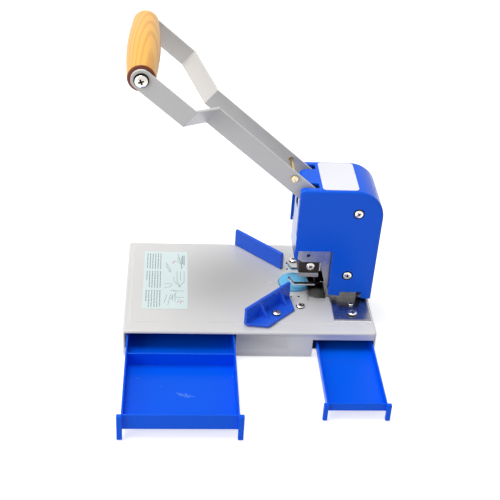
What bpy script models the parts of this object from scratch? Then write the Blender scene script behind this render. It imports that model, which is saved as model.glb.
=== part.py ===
"""Corner rounder with a hand lever, two guides and two drawers. Metres, +Z up."""
import math

import bmesh
import bpy
from mathutils import Matrix, Vector

# General clearances and helpers' sizes
FIT_GAP = 0.0003
SHEET_GAP = 0.0001
OVERRUN = 0.004
SLIP_GAP = 0.0004
OVERLAP = 0.0008
SMALL_EDGE = 0.0006
MERGE_DISTANCE = 0.00001

# Base housing
BASE_LENGTH = 0.260
BASE_DEPTH = 0.1657
BASE_HEIGHT = 0.0306
RIM_LIFT = 0.0015
BASE_CORNER_RADIUS = 0.0032
BASE_EDGE_RADIUS = 0.0024
PANEL_RISE = 0.0008
PANEL_SIDE_INSET = 0.0060
PANEL_FRONT_INSET = 0.0157
PANEL_BACK_INSET = 0.0070
PANEL_BEVEL = 0.0008
SIDE_WALL = 0.0020
FRONT_WALL = 0.0030
BACK_WALL = 0.0030
DECK_THICKNESS = 0.0025
LARGE_BAY_WIDTH = 0.1130
PARTITION = 0.0025
SMALL_OPENING_START_IN = 0.0657
SMALL_BAY_START_IN = 0.0682
SMALL_BAY_CEILING = 0.0230
RAIL_TOP = 0.0150
RAIL_END_IN = 0.0618
RAIL_FRONT = 0.0120
PAD_BLOCK_START_IN = 0.1100
PAD_BLOCK_HALF_WIDTH = 0.0280

# Machine centreline, waste slot and foot recesses
CENTRELINE = 0.0878
SLOT_START_IN = 0.0598
SLOT_END_IN = 0.0460
SLOT_HALF_WIDTH = 0.0259
SLOT_CORNER = 0.0020
SLOT_STEP_START_IN = 0.0641
SLOT_STEP_END_IN = 0.0450
SLOT_STEP_HALF_WIDTH = 0.0334
SLOT_STEP_DEPTH = 0.0015
FOOT_START_IN = 0.0417
FOOT_END_IN = 0.0033
FOOT_OUTER_HALF = 0.0655
FOOT_THICKNESS = 0.0026
FOOT_RECESS_DEPTH = 0.0030
FOOT_LIP_SIDE = 0.0016
FOOT_LIP_OUT = 0.0042
FOOT_LIP_DEPTH = 0.0010

# Bottom plate, feet and its screws
PLATE_LEVEL = 0.0079
PLATE_THICKNESS = 0.0015
FOOT_RADIUS = 0.0080
FOOT_STEM_RADIUS = 0.0030
FOOT_INSET = 0.0160
STEM_SHORT = 0.0002
BOSS_RADIUS = 0.0040
BOSS_INSET = 0.0055
PLATE_SCREW_RADIUS = 0.0015
PLATE_SCREW_HEAD_RADIUS = 0.0034
PLATE_SCREW_HEAD = 0.0018
PLATE_SCREW_LENGTH = 0.0080

# Drawers
DRAWER_LIFT = 0.0003
DRAWER_WALL = 0.0018
DRAWER_FLOOR = 0.0016
POST_IN = 0.0012
LARGE_DRAWER_START = 0.0042
LARGE_DRAWER_WIDTH = 0.1096
LARGE_DRAWER_LENGTH = 0.1545
LARGE_DRAWER_TOP = 0.0272
LARGE_DRAWER_PULL = 0.1180
LARGE_POST_OUT = 0.0040
LARGE_POST_DEPTH = 0.0048
LARGE_POST_TOP = 0.0286
LARGE_DIVIDER_PLACE = 0.0900
DIVIDER_DROP = 0.0012
DRAWER_SLOPE_RISE = 0.0060
DRAWER_SLOPE_RUN = 0.0050
SMALL_DRAWER_START_IN = 0.0614
SMALL_DRAWER_WIDTH = 0.0588
SMALL_DRAWER_LENGTH = 0.1250
SMALL_DRAWER_TOP = 0.0186
SMALL_DRAWER_PULL = 0.0917
SMALL_POST_OUT = 0.0034
SMALL_POST_DEPTH = 0.0040
SMALL_POST_TOP = 0.0198
POST_BOTTOM = 0.0005

# Cutting disc and its seat
DISC_PLACE_IN = 0.0787
DISC_RADIUS = 0.0160
DISC_PROUD = 0.0030
SEAT_RADIUS = 0.0172
SEAT_DEPTH = 0.0030
SPIGOT_RADIUS = 0.0040
SPIGOT_LENGTH = 0.0055

# Corner guides
GUIDE_APEX_IN = 0.0640
GUIDE_CENTRE = 0.0858
GUIDE_ANGLE_DEGREES = 45
GUIDE_LENGTH = 0.0690
GUIDE_HEIGHT = 0.0207
GUIDE_THICKNESS = 0.0036
GUIDE_EDGE = 0.0010
NEAR_GUIDE_START = 0.0342
FAR_GUIDE_START = 0.0385
FLANGE_THICKNESS = 0.0028
FLANGE_REACH = 0.0222
FLANGE_FRONT_CUT = 0.0140
NEAR_FLANGE_CUT = 0.0135
FAR_FLANGE_CUT = 0.0200
FLANGE_REAR_WIDTH = 0.0050
RIB_THICKNESS = 0.0020
RIB_FIRST = 0.0155
RIB_SECOND = 0.0465
RIB_REACH = 0.0150
RIB_DROP = 0.0035
GUIDE_SCREW_ALONG = 0.0341
GUIDE_SCREW_OUT = 0.0140
TABLE_SCREW_PLACE_IN = 0.0755
TABLE_SCREW_HALF = 0.0432

# Screws seen on the table, the cover and the tool
SCREW_HEAD_RADIUS = 0.00465
SCREW_HEAD_HEIGHT = 0.0026
SCREW_SHANK_RADIUS = 0.0024
SCREW_BITE = 0.0055
HEAD_DOME = 0.0010

# Frame side plates
FRAME_HALF = 0.0255
FRAME_THICKNESS = 0.0030
FRAME_FRONT_IN = 0.0805
FRAME_TOP = 0.1480
FRAME_BACK_IN = 0.0140
FRAME_TOP_CHAMFER = 0.0110
NOSE_BOTTOM = 0.0772
NOSE_CHAMFER_RUN = 0.0050
NOSE_CHAMFER_RISE = 0.0036
THROAT_END_IN = 0.0567
COLUMN_FRONT_IN = 0.0470
COLUMN_KNEE = 0.0410
SIGHT_HOLE_PLACE_IN = 0.0693
SIGHT_HOLE_LEVEL = 0.0852
SIGHT_HOLE_RADIUS = 0.0020
FOOT_SCREW_PLACE_IN = 0.0217
FOOT_SCREW_HALF = 0.0550
FOOT_PIN_PLACE_IN = 0.0211
FOOT_PIN_HALF = 0.0386
FOOT_PIN_HEAD_RADIUS = 0.0027
FOOT_PIN_HEAD = 0.0014
FOOT_PIN_SHANK = 0.0014
BACK_PLATE_THICKNESS = 0.0030
BACK_PLATE_BOTTOM = 0.0430
BACK_PLATE_TOP = 0.1040

# Ram and tool
RAM_FRONT_IN = 0.0832
RAM_BACK_IN = 0.0395
RAM_SHOULDER = 0.1060
RAM_TOP = 0.1485
RAM_NECK_HALF = 0.0175
RAM_EDGE = 0.0006
LEG_GROOVE_HALF = 0.0065
GROOVE_FRONT_LEVEL = 0.1320
GROOVE_BACK_LEVEL = 0.1160
SHAFT_PLAY_BELOW = 0.0003
SHAFT_PLAY_ABOVE = 0.0008
SHAFT_PLAY_SIDE = 0.0007
SHAFT_SLOT_CORNER = 0.0010
HOLDER_START_IN = 0.0780
HOLDER_END_IN = 0.0560
HOLDER_HALF = 0.0218
HOLDER_BOTTOM = 0.0620
TOOL_FLANGE_START_IN = 0.0772
TOOL_FLANGE_END_IN = 0.0564
TOOL_FLANGE_HALF = 0.0224
TOOL_FLANGE_THICKNESS = 0.0052
TOOL_SCREW_PLACE_IN = 0.0658
TOOL_SCREW_LEVEL = 0.0705
BLADE_RADIUS = 0.0060
BLADE_THICKNESS = 0.0018
BLADE_WING = 0.0040
BLADE_CLEARANCE = 0.0003

# Stripper fork
FORK_LEVEL = 0.0410
FORK_THICKNESS = 0.0015
FORK_INNER_HALF = 0.0118
FORK_OUTER_HALF = 0.0158
FORK_TIP_PLACE_IN = 0.0873
FORK_BEND_PLACE_IN = 0.0810
FORK_TIP_RISE = 0.0080
FORK_BRIDGE = 0.0185
FORK_CORNER_CUT = 0.0058
FORK_CORNER_RUN = 0.0125
FORK_TAB_HEIGHT = 0.0150
FORK_TAB_HALF = 0.0100
FORK_SCREW_RADIUS = 0.0018
FORK_SCREW_HEAD_RADIUS = 0.0036
FORK_SCREW_HEAD = 0.0020

# Head cover
COVER_FRONT_IN = 0.0846
COVER_OVERHANG = 0.0025
COVER_DRAFT = 0.0014
COVER_HALF = 0.0318
COVER_WALL = 0.0027
COVER_TOP = 0.1663
COVER_FRONT_RADIUS = 0.0045
COVER_BACK_RADIUS = 0.0305
COVER_SIDE_RADIUS = 0.0025
COVER_BACK_BOTTOM = 0.0353
COVER_FRONT_BOTTOM = 0.0404
WINDOW_START_IN = 0.0813
WINDOW_END_IN = 0.0454
WINDOW_TOP = 0.0949
POST_TIP_FRONT = 0.0862
POST_TIP_BACK = 0.0838
NOTCH_START_IN = 0.0332
NOTCH_END_IN = 0.0100
NOTCH_TOP = 0.0440
LEVER_SLOT_INNER = 0.0150
LEVER_SLOT_OUTER = 0.0243
LEVER_SLOT_END_IN = 0.0648
TONGUE_FRONT_IN = 0.0828
TONGUE_FLAT_HALF = 0.0060
TONGUE_THICKNESS = 0.0018
COVER_SCREW_UPPER_PLACE_IN = 0.0233
COVER_SCREW_UPPER_LEVEL = 0.1407
COVER_SCREW_LOWER_PLACE_IN = 0.0272
COVER_SCREW_LOWER_LEVEL = 0.0652
COVER_RECESS_RADIUS = 0.0057
COVER_RECESS_DEPTH = 0.0010
COVER_BOSS_RADIUS = 0.0052
LABEL_START_IN = 0.0617
LABEL_END_IN = 0.0250
LABEL_HALF = 0.0285
LABEL_CORNER = 0.0040
LABEL_THICKNESS = 0.0003
STICKER_START = 0.0184
STICKER_END = 0.0660
STICKER_FRONT = 0.0368
STICKER_BACK = 0.1446

# Lever
LEVER_RISE_DEGREES = 40.5
PIVOT_PLACE_IN = 0.0300
PIVOT_LEVEL = 0.1181
LEVER_LENGTH = 0.2772
BAR_WIDTH = 0.0195
BAR_THICKNESS = 0.0030
BAR_HEAD_OUTER = 0.0217
BAR_GRIP_OUTER = 0.0715
FIRST_BEND = 0.1898
SECOND_BEND = 0.2196
PIVOT_RADIUS = 0.0040
PIVOT_HEAD_RADIUS = 0.0058
PIVOT_HEAD = 0.0016
CROSS_PIN_ALONG = 0.0830
CROSS_PIN_ABOVE = 0.0038
CROSS_PIN_RADIUS = 0.0019
CROSS_PIN_HEAD_RADIUS = 0.0038
CROSS_PIN_HEAD = 0.0015
PRESS_SHAFT_ALONG = 0.0240
PRESS_SHAFT_ABOVE = 0.0025
PRESS_SHAFT_RADIUS = 0.0035
LEVER_SWING_DEGREES = 33.0
GRIP_MID_RADIUS = 0.0160
GRIP_END_RADIUS = 0.0130
GRIP_EDGE = 0.0016
GRIP_BORE_RADIUS = 0.0027
GRIP_BORE_DEPTH = 0.0220
GRIP_SCREW_RADIUS = 0.0024
GRIP_SCREW_LENGTH = 0.0200
GRIP_SCREW_HEAD_RADIUS = 0.0060
GRIP_SCREW_HEAD = 0.0034
GRIP_WASHER_RADIUS = 0.0070
GRIP_WASHER = 0.0008

# Return spring
WIRE_RADIUS = 0.0009
COIL_RADIUS = 0.0065
COIL_PITCH = 0.0024
COIL_TURNS = 5
COIL_POINTS = 9
LEG_HALF = 0.0040
LEG_PAST_PIN = 0.0130
LEG_GAP = 0.0003
TAIL_LENGTH = 0.0060

# Shape counts
ROUND_STEPS = 32
SMALL_ROUND_STEPS = 20
FASTENER_STEPS = 14
ARC_STEPS = 8
BARREL_STEPS = 12
COVER_ARC_STEPS = 14
BEND_STEPS = 6

# Places along the base that go with its right end, where the head and the small drawer are: a name that
# ends in IN is the way in from that end
SMALL_OPENING_START = BASE_LENGTH - SMALL_OPENING_START_IN
SMALL_BAY_START = BASE_LENGTH - SMALL_BAY_START_IN
RAIL_END = BASE_LENGTH - RAIL_END_IN
PAD_BLOCK_START = BASE_LENGTH - PAD_BLOCK_START_IN
SLOT_START = BASE_LENGTH - SLOT_START_IN
SLOT_END = BASE_LENGTH - SLOT_END_IN
SLOT_STEP_START = BASE_LENGTH - SLOT_STEP_START_IN
SLOT_STEP_END = BASE_LENGTH - SLOT_STEP_END_IN
FOOT_START = BASE_LENGTH - FOOT_START_IN
FOOT_END = BASE_LENGTH - FOOT_END_IN
SMALL_DRAWER_START = BASE_LENGTH - SMALL_DRAWER_START_IN
DISC_PLACE = BASE_LENGTH - DISC_PLACE_IN
GUIDE_APEX = BASE_LENGTH - GUIDE_APEX_IN
TABLE_SCREW_PLACE = BASE_LENGTH - TABLE_SCREW_PLACE_IN
FRAME_FRONT = BASE_LENGTH - FRAME_FRONT_IN
FRAME_BACK = BASE_LENGTH - FRAME_BACK_IN
THROAT_END = BASE_LENGTH - THROAT_END_IN
COLUMN_FRONT = BASE_LENGTH - COLUMN_FRONT_IN
SIGHT_HOLE_PLACE = BASE_LENGTH - SIGHT_HOLE_PLACE_IN
FOOT_SCREW_PLACE = BASE_LENGTH - FOOT_SCREW_PLACE_IN
FOOT_PIN_PLACE = BASE_LENGTH - FOOT_PIN_PLACE_IN
RAM_FRONT = BASE_LENGTH - RAM_FRONT_IN
RAM_BACK = BASE_LENGTH - RAM_BACK_IN
HOLDER_START = BASE_LENGTH - HOLDER_START_IN
HOLDER_END = BASE_LENGTH - HOLDER_END_IN
TOOL_FLANGE_START = BASE_LENGTH - TOOL_FLANGE_START_IN
TOOL_FLANGE_END = BASE_LENGTH - TOOL_FLANGE_END_IN
TOOL_SCREW_PLACE = BASE_LENGTH - TOOL_SCREW_PLACE_IN
FORK_TIP_PLACE = BASE_LENGTH - FORK_TIP_PLACE_IN
FORK_BEND_PLACE = BASE_LENGTH - FORK_BEND_PLACE_IN
COVER_FRONT = BASE_LENGTH - COVER_FRONT_IN
WINDOW_START = BASE_LENGTH - WINDOW_START_IN
WINDOW_END = BASE_LENGTH - WINDOW_END_IN
NOTCH_START = BASE_LENGTH - NOTCH_START_IN
NOTCH_END = BASE_LENGTH - NOTCH_END_IN
LEVER_SLOT_END = BASE_LENGTH - LEVER_SLOT_END_IN
TONGUE_FRONT = BASE_LENGTH - TONGUE_FRONT_IN
COVER_SCREW_UPPER_PLACE = BASE_LENGTH - COVER_SCREW_UPPER_PLACE_IN
COVER_SCREW_LOWER_PLACE = BASE_LENGTH - COVER_SCREW_LOWER_PLACE_IN
LABEL_START = BASE_LENGTH - LABEL_START_IN
LABEL_END = BASE_LENGTH - LABEL_END_IN
PIVOT_PLACE = BASE_LENGTH - PIVOT_PLACE_IN
COVER_BACK = BASE_LENGTH + COVER_OVERHANG

# Levels that follow from the sizes above
BASE_TOP = RIM_LIFT + BASE_HEIGHT
TABLE_TOP = BASE_TOP + PANEL_RISE
DECK_UNDERSIDE = BASE_TOP - DECK_THICKNESS
PLATE_TOP = PLATE_LEVEL + PLATE_THICKNESS
DRAWER_BOTTOM = PLATE_TOP + DRAWER_LIFT
BAY_BACK = BASE_DEPTH - BACK_WALL
LARGE_BAY_END = SIDE_WALL + LARGE_BAY_WIDTH
CENTRE_BAY_START = LARGE_BAY_END + PARTITION
CENTRE_BAY_END = SMALL_BAY_START - PARTITION
SMALL_BAY_END = BASE_LENGTH - SIDE_WALL
SEAT_FLOOR = TABLE_TOP - SEAT_DEPTH
DISC_TOP = TABLE_TOP + DISC_PROUD
FRAME_INNER = FRAME_HALF - FRAME_THICKNESS
FOOT_FLOOR = TABLE_TOP - FOOT_RECESS_DEPTH
FOOT_TOP = FOOT_FLOOR + FIT_GAP + FOOT_THICKNESS
RAM_HALF = FRAME_INNER - FIT_GAP
RAM_BOTTOM = NOSE_BOTTOM
HOLDER_TOP = RAM_BOTTOM - FIT_GAP
TOOL_FLANGE_TOP = HOLDER_BOTTOM - FIT_GAP
TOOL_FLANGE_BOTTOM = TOOL_FLANGE_TOP - TOOL_FLANGE_THICKNESS
BACK_PLATE_FRONT = RAM_BACK + FIT_GAP
COVER_INNER = COVER_HALF - COVER_WALL
HALF_BAR = BAR_WIDTH / 2
BAR_HEAD_INNER = BAR_HEAD_OUTER - BAR_THICKNESS
BAR_GRIP_INNER = BAR_GRIP_OUTER - BAR_THICKNESS
GRIP_HALF = BAR_GRIP_INNER - FIT_GAP

# Lever directions: along the bar from the pivot, and square to it
RISE = math.radians(LEVER_RISE_DEGREES)
SWING = math.radians(LEVER_SWING_DEGREES)
SHAFT_REACH = math.hypot(PRESS_SHAFT_ALONG, PRESS_SHAFT_ABOVE)
SHAFT_RISE = RISE + math.atan2(PRESS_SHAFT_ABOVE, PRESS_SHAFT_ALONG)
STROKE = SHAFT_REACH * (math.sin(SHAFT_RISE) - math.sin(SHAFT_RISE - SWING))
SHAFT_ADVANCE = SHAFT_REACH * (math.cos(SHAFT_RISE - SWING) - math.cos(SHAFT_RISE))

# The part's frame: centre of the bounding box on the ground
PART_RIGHT = COVER_BACK
PART_FRONT = -LARGE_DRAWER_PULL - LARGE_POST_DEPTH
SHIFT = Vector((-PART_RIGHT / 2, -(BASE_DEPTH + PART_FRONT) / 2, 0))
PIVOT = Vector((PIVOT_PLACE, CENTRELINE, PIVOT_LEVEL))

for stale in list(bpy.data.objects):
    bpy.data.objects.remove(stale, do_unlink=True)

PARTS = bpy.data.collections.new("corner_rounder")
CUTTERS = bpy.data.collections.new("corner_rounder_cutters")
bpy.context.scene.collection.children.link(PARTS)
bpy.context.scene.collection.children.link(CUTTERS)

# Colours
GREY_PAINT = (0.74, 0.74, 0.73)
LEVER_PAINT = (0.60, 0.60, 0.58)
GUIDE_BLUE = (0.015, 0.085, 0.62)
COVER_BLUE = (0.012, 0.095, 0.60)
DRAWER_BLUE = (0.004, 0.115, 0.78)
DISC_BLUE = (0.10, 0.46, 0.90)
CHROME = (0.78, 0.78, 0.80)
DARK_STEEL = (0.22, 0.21, 0.20)
YELLOW_ZINC = (0.62, 0.50, 0.26)
SPRING_STEEL = (0.55, 0.53, 0.48)
WOOD = (0.80, 0.48, 0.16)
PAPER = (0.80, 0.80, 0.86)
STICKER_PAPER = (0.74, 0.87, 0.87)
RUBBER = (0.03, 0.03, 0.03)


# Joint empties carry the moving pieces; the root empty carries the rest

def empty(name, place, parent=None, rotation=None):
    made = bpy.data.objects.new(name, None)
    PARTS.objects.link(made)
    made.parent = parent
    made.location = place
    if rotation:
        made.rotation_euler = rotation
    return made


ROOT = empty("corner_rounder_origin", SHIFT)
LEVER_AXES = Matrix(((-math.cos(RISE), 0, math.sin(RISE)), (0, -1, 0),
                     (math.sin(RISE), 0, math.cos(RISE))))
LEVER = empty("lever_pivot", PIVOT, ROOT, LEVER_AXES.to_euler())
RAM_AXIS = empty("ram_axis", ((RAM_FRONT + RAM_BACK) / 2, CENTRELINE, RAM_BOTTOM), ROOT)
DISC_AXIS = empty("disc_axis", (DISC_PLACE, CENTRELINE, DISC_TOP), ROOT)
LARGE_SLIDE = empty("large_drawer_slide",
                    (LARGE_DRAWER_START + LARGE_DRAWER_WIDTH / 2, 0, DRAWER_BOTTOM), ROOT)
SMALL_SLIDE = empty("small_drawer_slide",
                    (SMALL_DRAWER_START + SMALL_DRAWER_WIDTH / 2, 0, DRAWER_BOTTOM), ROOT)
# Pieces under these empties are still measured in the layout, so the parent's place is taken off
IN_LAYOUT = (RAM_AXIS, DISC_AXIS, LARGE_SLIDE, SMALL_SLIDE)


# Shape makers: primitives, extruded outlines and turned profiles

def place_object(name, mesh, parent, cutter=False):
    made = bpy.data.objects.new(name, mesh)
    (CUTTERS if cutter else PARTS).objects.link(made)
    made.parent = parent
    if parent in IN_LAYOUT:
        made.matrix_parent_inverse = Matrix.Translation(-parent.location)
    if cutter:
        made.hide_render = True
        made.display_type = "WIRE"
    return made


def mesh_object(name, shape, parent, cutter=False):
    bmesh.ops.recalc_face_normals(shape, faces=shape.faces)
    mesh = bpy.data.meshes.new(name)
    shape.to_mesh(mesh)
    shape.free()
    return place_object(name, mesh, parent, cutter)


def box(name, low, high, parent=ROOT, cutter=False, rounding=None):
    size = Vector(high) - Vector(low)
    centre = (Vector(high) + Vector(low)) / 2
    shape = bmesh.new()
    bmesh.ops.create_cube(shape, size=1,
                          matrix=Matrix.Translation(centre) @ Matrix.Diagonal(size).to_4x4())
    if rounding:
        rounding(shape)
    return mesh_object(name, shape, parent, cutter)


def spread(axis, first, second, along):
    """Put two outline values and the value along the axis on X, Y and Z."""
    return Vector({"X": (along, first, second), "Y": (first, along, second),
                   "Z": (first, second, along)}[axis])


def extrusion(name, outline, axis, low, high, parent=ROOT, cutter=False, rounding=None):
    shape = bmesh.new()
    face = shape.faces.new([shape.verts.new(spread(axis, a, b, low)) for a, b in outline])
    raised = bmesh.ops.extrude_face_region(shape, geom=[face])["geom"]
    moved = [item for item in raised if isinstance(item, bmesh.types.BMVert)]
    bmesh.ops.translate(shape, verts=moved, vec=spread(axis, 0, 0, high - low))
    if rounding:
        rounding(shape)
    return mesh_object(name, shape, parent, cutter)


def cylinder_turn(axis):
    return {"X": Matrix.Rotation(math.pi / 2, 4, "Y"), "Y": Matrix.Rotation(-math.pi / 2, 4, "X"),
            "Z": Matrix.Identity(4)}[axis]


def cylinder(name, centre, radius, low, high, axis, parent=ROOT, cutter=False, steps=ROUND_STEPS):
    """A cylinder along an axis from low to high; centre gives the other two places."""
    middle = Vector(centre)
    middle["XYZ".index(axis)] = (low + high) / 2
    shape = bmesh.new()
    bmesh.ops.create_cone(shape, cap_ends=True, segments=steps, radius1=radius, radius2=radius,
                          depth=high - low, matrix=Matrix.Translation(middle) @ cylinder_turn(axis))
    return mesh_object(name, shape, parent, cutter)


LOOKS = {"+Z": (0, 0, 0), "-Z": (math.pi, 0, 0), "+Y": (-math.pi / 2, 0, 0),
         "-Y": (math.pi / 2, 0, 0), "-X": (0, -math.pi / 2, 0)}


def profile_mesh(name, profile):
    """A turned shape's half profile, from the axis at the top down to the axis at the bottom."""
    mesh = bpy.data.meshes.new(name)
    points = [(radius, 0, along) for radius, along in profile]
    mesh.from_pydata(points, [(index, index + 1) for index in range(len(points) - 1)], [])
    return mesh


def turned(name, mesh, place, look, parent=ROOT, steps=SMALL_ROUND_STEPS):
    made = place_object(name, mesh, parent)
    made.location = place
    made.rotation_euler = LOOKS[look]
    screw = made.modifiers.new("turn", "SCREW")
    screw.steps = steps
    screw.render_steps = steps
    screw.use_merge_vertices = True
    screw.merge_threshold = MERGE_DISTANCE
    return made


def combine(target, tool, operation):
    step = target.modifiers.new(tool.name, "BOOLEAN")
    step.operation = operation
    step.solver = "EXACT"
    step.object = tool


def cut(target, tool):
    combine(target, tool, "DIFFERENCE")


def add(target, tool):
    combine(target, tool, "UNION")


def cut_box(target, name, low, high):
    cut(target, box(f"{target.name}_{name}", low, high, target.parent, True))


def add_box(target, name, low, high):
    add(target, box(f"{target.name}_{name}", low, high, target.parent, True))


def drill(target, name, centre, radius, low, high, axis, steps=SMALL_ROUND_STEPS):
    cut(target, cylinder(f"{target.name}_{name}", centre, radius, low, high, axis, target.parent, True,
                         steps))


def arc(centre, radius, start, end, steps=ARC_STEPS):
    points = []
    for index in range(steps + 1):
        angle = math.radians(start + (end - start) * index / steps)
        points.append((centre[0] + radius * math.cos(angle), centre[1] + radius * math.sin(angle)))
    return points


def rounded_rectangle(low, high, radius, steps=ARC_STEPS):
    left, front = low
    right, back = high
    return (arc((right - radius, back - radius), radius, 0, 90, steps)
            + arc((left + radius, back - radius), radius, 90, 180, steps)
            + arc((left + radius, front + radius), radius, 180, 270, steps)
            + arc((right - radius, front + radius), radius, 270, 360, steps))


def bevel_where(shape, chosen, width, steps):
    """Round the edges whose two ends both pass the test."""
    edges = [edge for edge in shape.edges if all(chosen(vert.co) for vert in edge.verts)]
    bmesh.ops.bevel(shape, geom=edges, offset=width, segments=steps, profile=0.5, affect="EDGES",
                    material=-1)


def finish(made, colour, roughness=0.4, metallic=0.0):
    paint = bpy.data.materials.get(made.data.name) or bpy.data.materials.new(made.data.name)
    paint.use_nodes = True
    shader = paint.node_tree.nodes["Principled BSDF"]
    shader.inputs["Base Color"].default_value = (*colour, 1)
    shader.inputs["Roughness"].default_value = roughness
    shader.inputs["Metallic"].default_value = metallic
    if not made.data.materials:
        made.data.materials.append(paint)
    return made


def screw_mesh(name, head_radius, head, dome, shank_radius, length):
    """A pan head above zero and its shank below zero."""
    return profile_mesh(name, ((0, head), (head_radius - dome, head), (head_radius, head - dome),
                               (head_radius, 0), (shank_radius, 0), (shank_radius, -length), (0, -length)))


def screws(name, mesh, places, look, parent=ROOT, roughness=0.2):
    """One object for each screw, all with one mesh; a look may differ from place to place."""
    for number, place in enumerate(places, 1):
        way = look[number - 1] if isinstance(look, (list, tuple)) else look
        label = f"{name}_{number}" if len(places) > 1 else name
        finish(turned(label, mesh, place, way, parent, FASTENER_STEPS), CHROME, roughness, 1.0)


def both(offset):
    """The two places at a distance from the machine's centreline, near one first."""
    return (CENTRELINE - offset, CENTRELINE + offset)


def across(side, first, second):
    """Two distances from the centreline on one side, in rising order of Y."""
    return sorted((CENTRELINE + side * first, CENTRELINE + side * second))


SIDES = ((-1, "near"), (1, "far"))

# Base housing: one painted casting with the drawer bays open to the front
base_outline = rounded_rectangle((0, 0), (BASE_LENGTH, BASE_DEPTH), BASE_CORNER_RADIUS)
base = extrusion("base_housing", base_outline, "Z", RIM_LIFT, BASE_TOP, rounding=lambda shape:
                 bevel_where(shape, lambda co: co.z > BASE_TOP - FIT_GAP, BASE_EDGE_RADIUS, 3))
panel_outline = rounded_rectangle((PANEL_SIDE_INSET, PANEL_FRONT_INSET),
                                  (BASE_LENGTH - PANEL_SIDE_INSET, BASE_DEPTH - PANEL_BACK_INSET),
                                  BASE_CORNER_RADIUS)
add(base, extrusion("base_panel", panel_outline, "Z", BASE_TOP - PANEL_RISE, TABLE_TOP, cutter=True,
                    rounding=lambda shape: bevel_where(shape, lambda co: co.z > TABLE_TOP - FIT_GAP,
                                                       PANEL_BEVEL, 2)))
cut_box(base, "undercut", (SIDE_WALL, FRONT_WALL, -OVERRUN), (SMALL_BAY_END, BAY_BACK, DRAWER_BOTTOM))
cut_box(base, "large_bay", (SIDE_WALL, -OVERRUN, -OVERRUN), (LARGE_BAY_END, BAY_BACK, DECK_UNDERSIDE))
cut_box(base, "centre_bay", (CENTRE_BAY_START, FRONT_WALL, -OVERRUN),
        (CENTRE_BAY_END, BAY_BACK, DECK_UNDERSIDE))
cut_box(base, "small_bay", (SMALL_BAY_START, FRONT_WALL, -OVERRUN),
        (SMALL_BAY_END, BAY_BACK, SMALL_BAY_CEILING))
cut_box(base, "small_opening", (SMALL_OPENING_START, -OVERRUN, -OVERRUN),
        (SMALL_BAY_END, FRONT_WALL + OVERRUN, SMALL_BAY_CEILING))
add_box(base, "pad_block", (PAD_BLOCK_START, CENTRELINE - PAD_BLOCK_HALF_WIDTH, SMALL_BAY_CEILING),
        (SMALL_BAY_START, CENTRELINE + PAD_BLOCK_HALF_WIDTH, BASE_TOP))
add_box(base, "rail", (CENTRE_BAY_END, RAIL_FRONT, DRAWER_BOTTOM), (RAIL_END, BAY_BACK + OVERLAP, RAIL_TOP))

BOSS_PLACES = [(x, y) for x in (CENTRE_BAY_START + BOSS_INSET, CENTRE_BAY_END - BOSS_INSET)
               for y in (FRONT_WALL + BOSS_INSET, BAY_BACK - BOSS_INSET)]
for number, (x, y) in enumerate(BOSS_PLACES):
    add(base, cylinder(f"base_boss_{number}", (x, y, 0), BOSS_RADIUS, PLATE_TOP + FIT_GAP,
                       DECK_UNDERSIDE + OVERLAP, "Z", ROOT, True, SMALL_ROUND_STEPS))
    drill(base, f"boss_hole_{number}", (x, y, 0), PLATE_SCREW_RADIUS + FIT_GAP, PLATE_TOP,
          PLATE_TOP + PLATE_SCREW_LENGTH, "Z")

# Waste slot, seat and spigot hole of the disc, recesses of the frame's feet
slot_outline = rounded_rectangle((SLOT_START, CENTRELINE - SLOT_HALF_WIDTH),
                                 (SLOT_END, CENTRELINE + SLOT_HALF_WIDTH), SLOT_CORNER, 3)
cut(base, extrusion("base_slot", slot_outline, "Z", RAIL_TOP + FIT_GAP, TABLE_TOP + OVERRUN, cutter=True))
step_outline = rounded_rectangle((SLOT_STEP_START, CENTRELINE - SLOT_STEP_HALF_WIDTH),
                                 (SLOT_STEP_END, CENTRELINE + SLOT_STEP_HALF_WIDTH), SLOT_CORNER, 3)
cut(base, extrusion("base_slot_step", step_outline, "Z", TABLE_TOP - SLOT_STEP_DEPTH, TABLE_TOP + OVERRUN,
                    cutter=True))
disc_centre = (DISC_PLACE, CENTRELINE, 0)
drill(base, "seat", disc_centre, SEAT_RADIUS, SEAT_FLOOR, TABLE_TOP + OVERRUN, "Z", ROUND_STEPS)
drill(base, "spigot_hole", disc_centre, SPIGOT_RADIUS + FIT_GAP, SMALL_BAY_CEILING - OVERRUN,
      TABLE_TOP + OVERRUN, "Z")
for side, word in SIDES:
    inner, outer = across(side, FRAME_INNER - FIT_GAP, FOOT_OUTER_HALF + FIT_GAP)
    cut_box(base, f"foot_recess_{word}", (FOOT_START - FIT_GAP, inner, FOOT_FLOOR),
            (FOOT_END + FIT_GAP, outer, TABLE_TOP + OVERRUN))
    inner, outer = across(side, FRAME_HALF, FOOT_OUTER_HALF + FOOT_LIP_OUT)
    cut_box(base, f"foot_lip_{word}", (FOOT_START - FOOT_LIP_SIDE, inner, TABLE_TOP - FOOT_LIP_DEPTH),
            (FOOT_END, outer, TABLE_TOP + OVERRUN))

# Places of the two guides: along each guide from the apex, and out from its paper edge


def guide_point(side, along, out):
    diagonal = math.sqrt(0.5)
    return (GUIDE_APEX + diagonal * (out - along), GUIDE_CENTRE + side * diagonal * (along + out))


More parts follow.
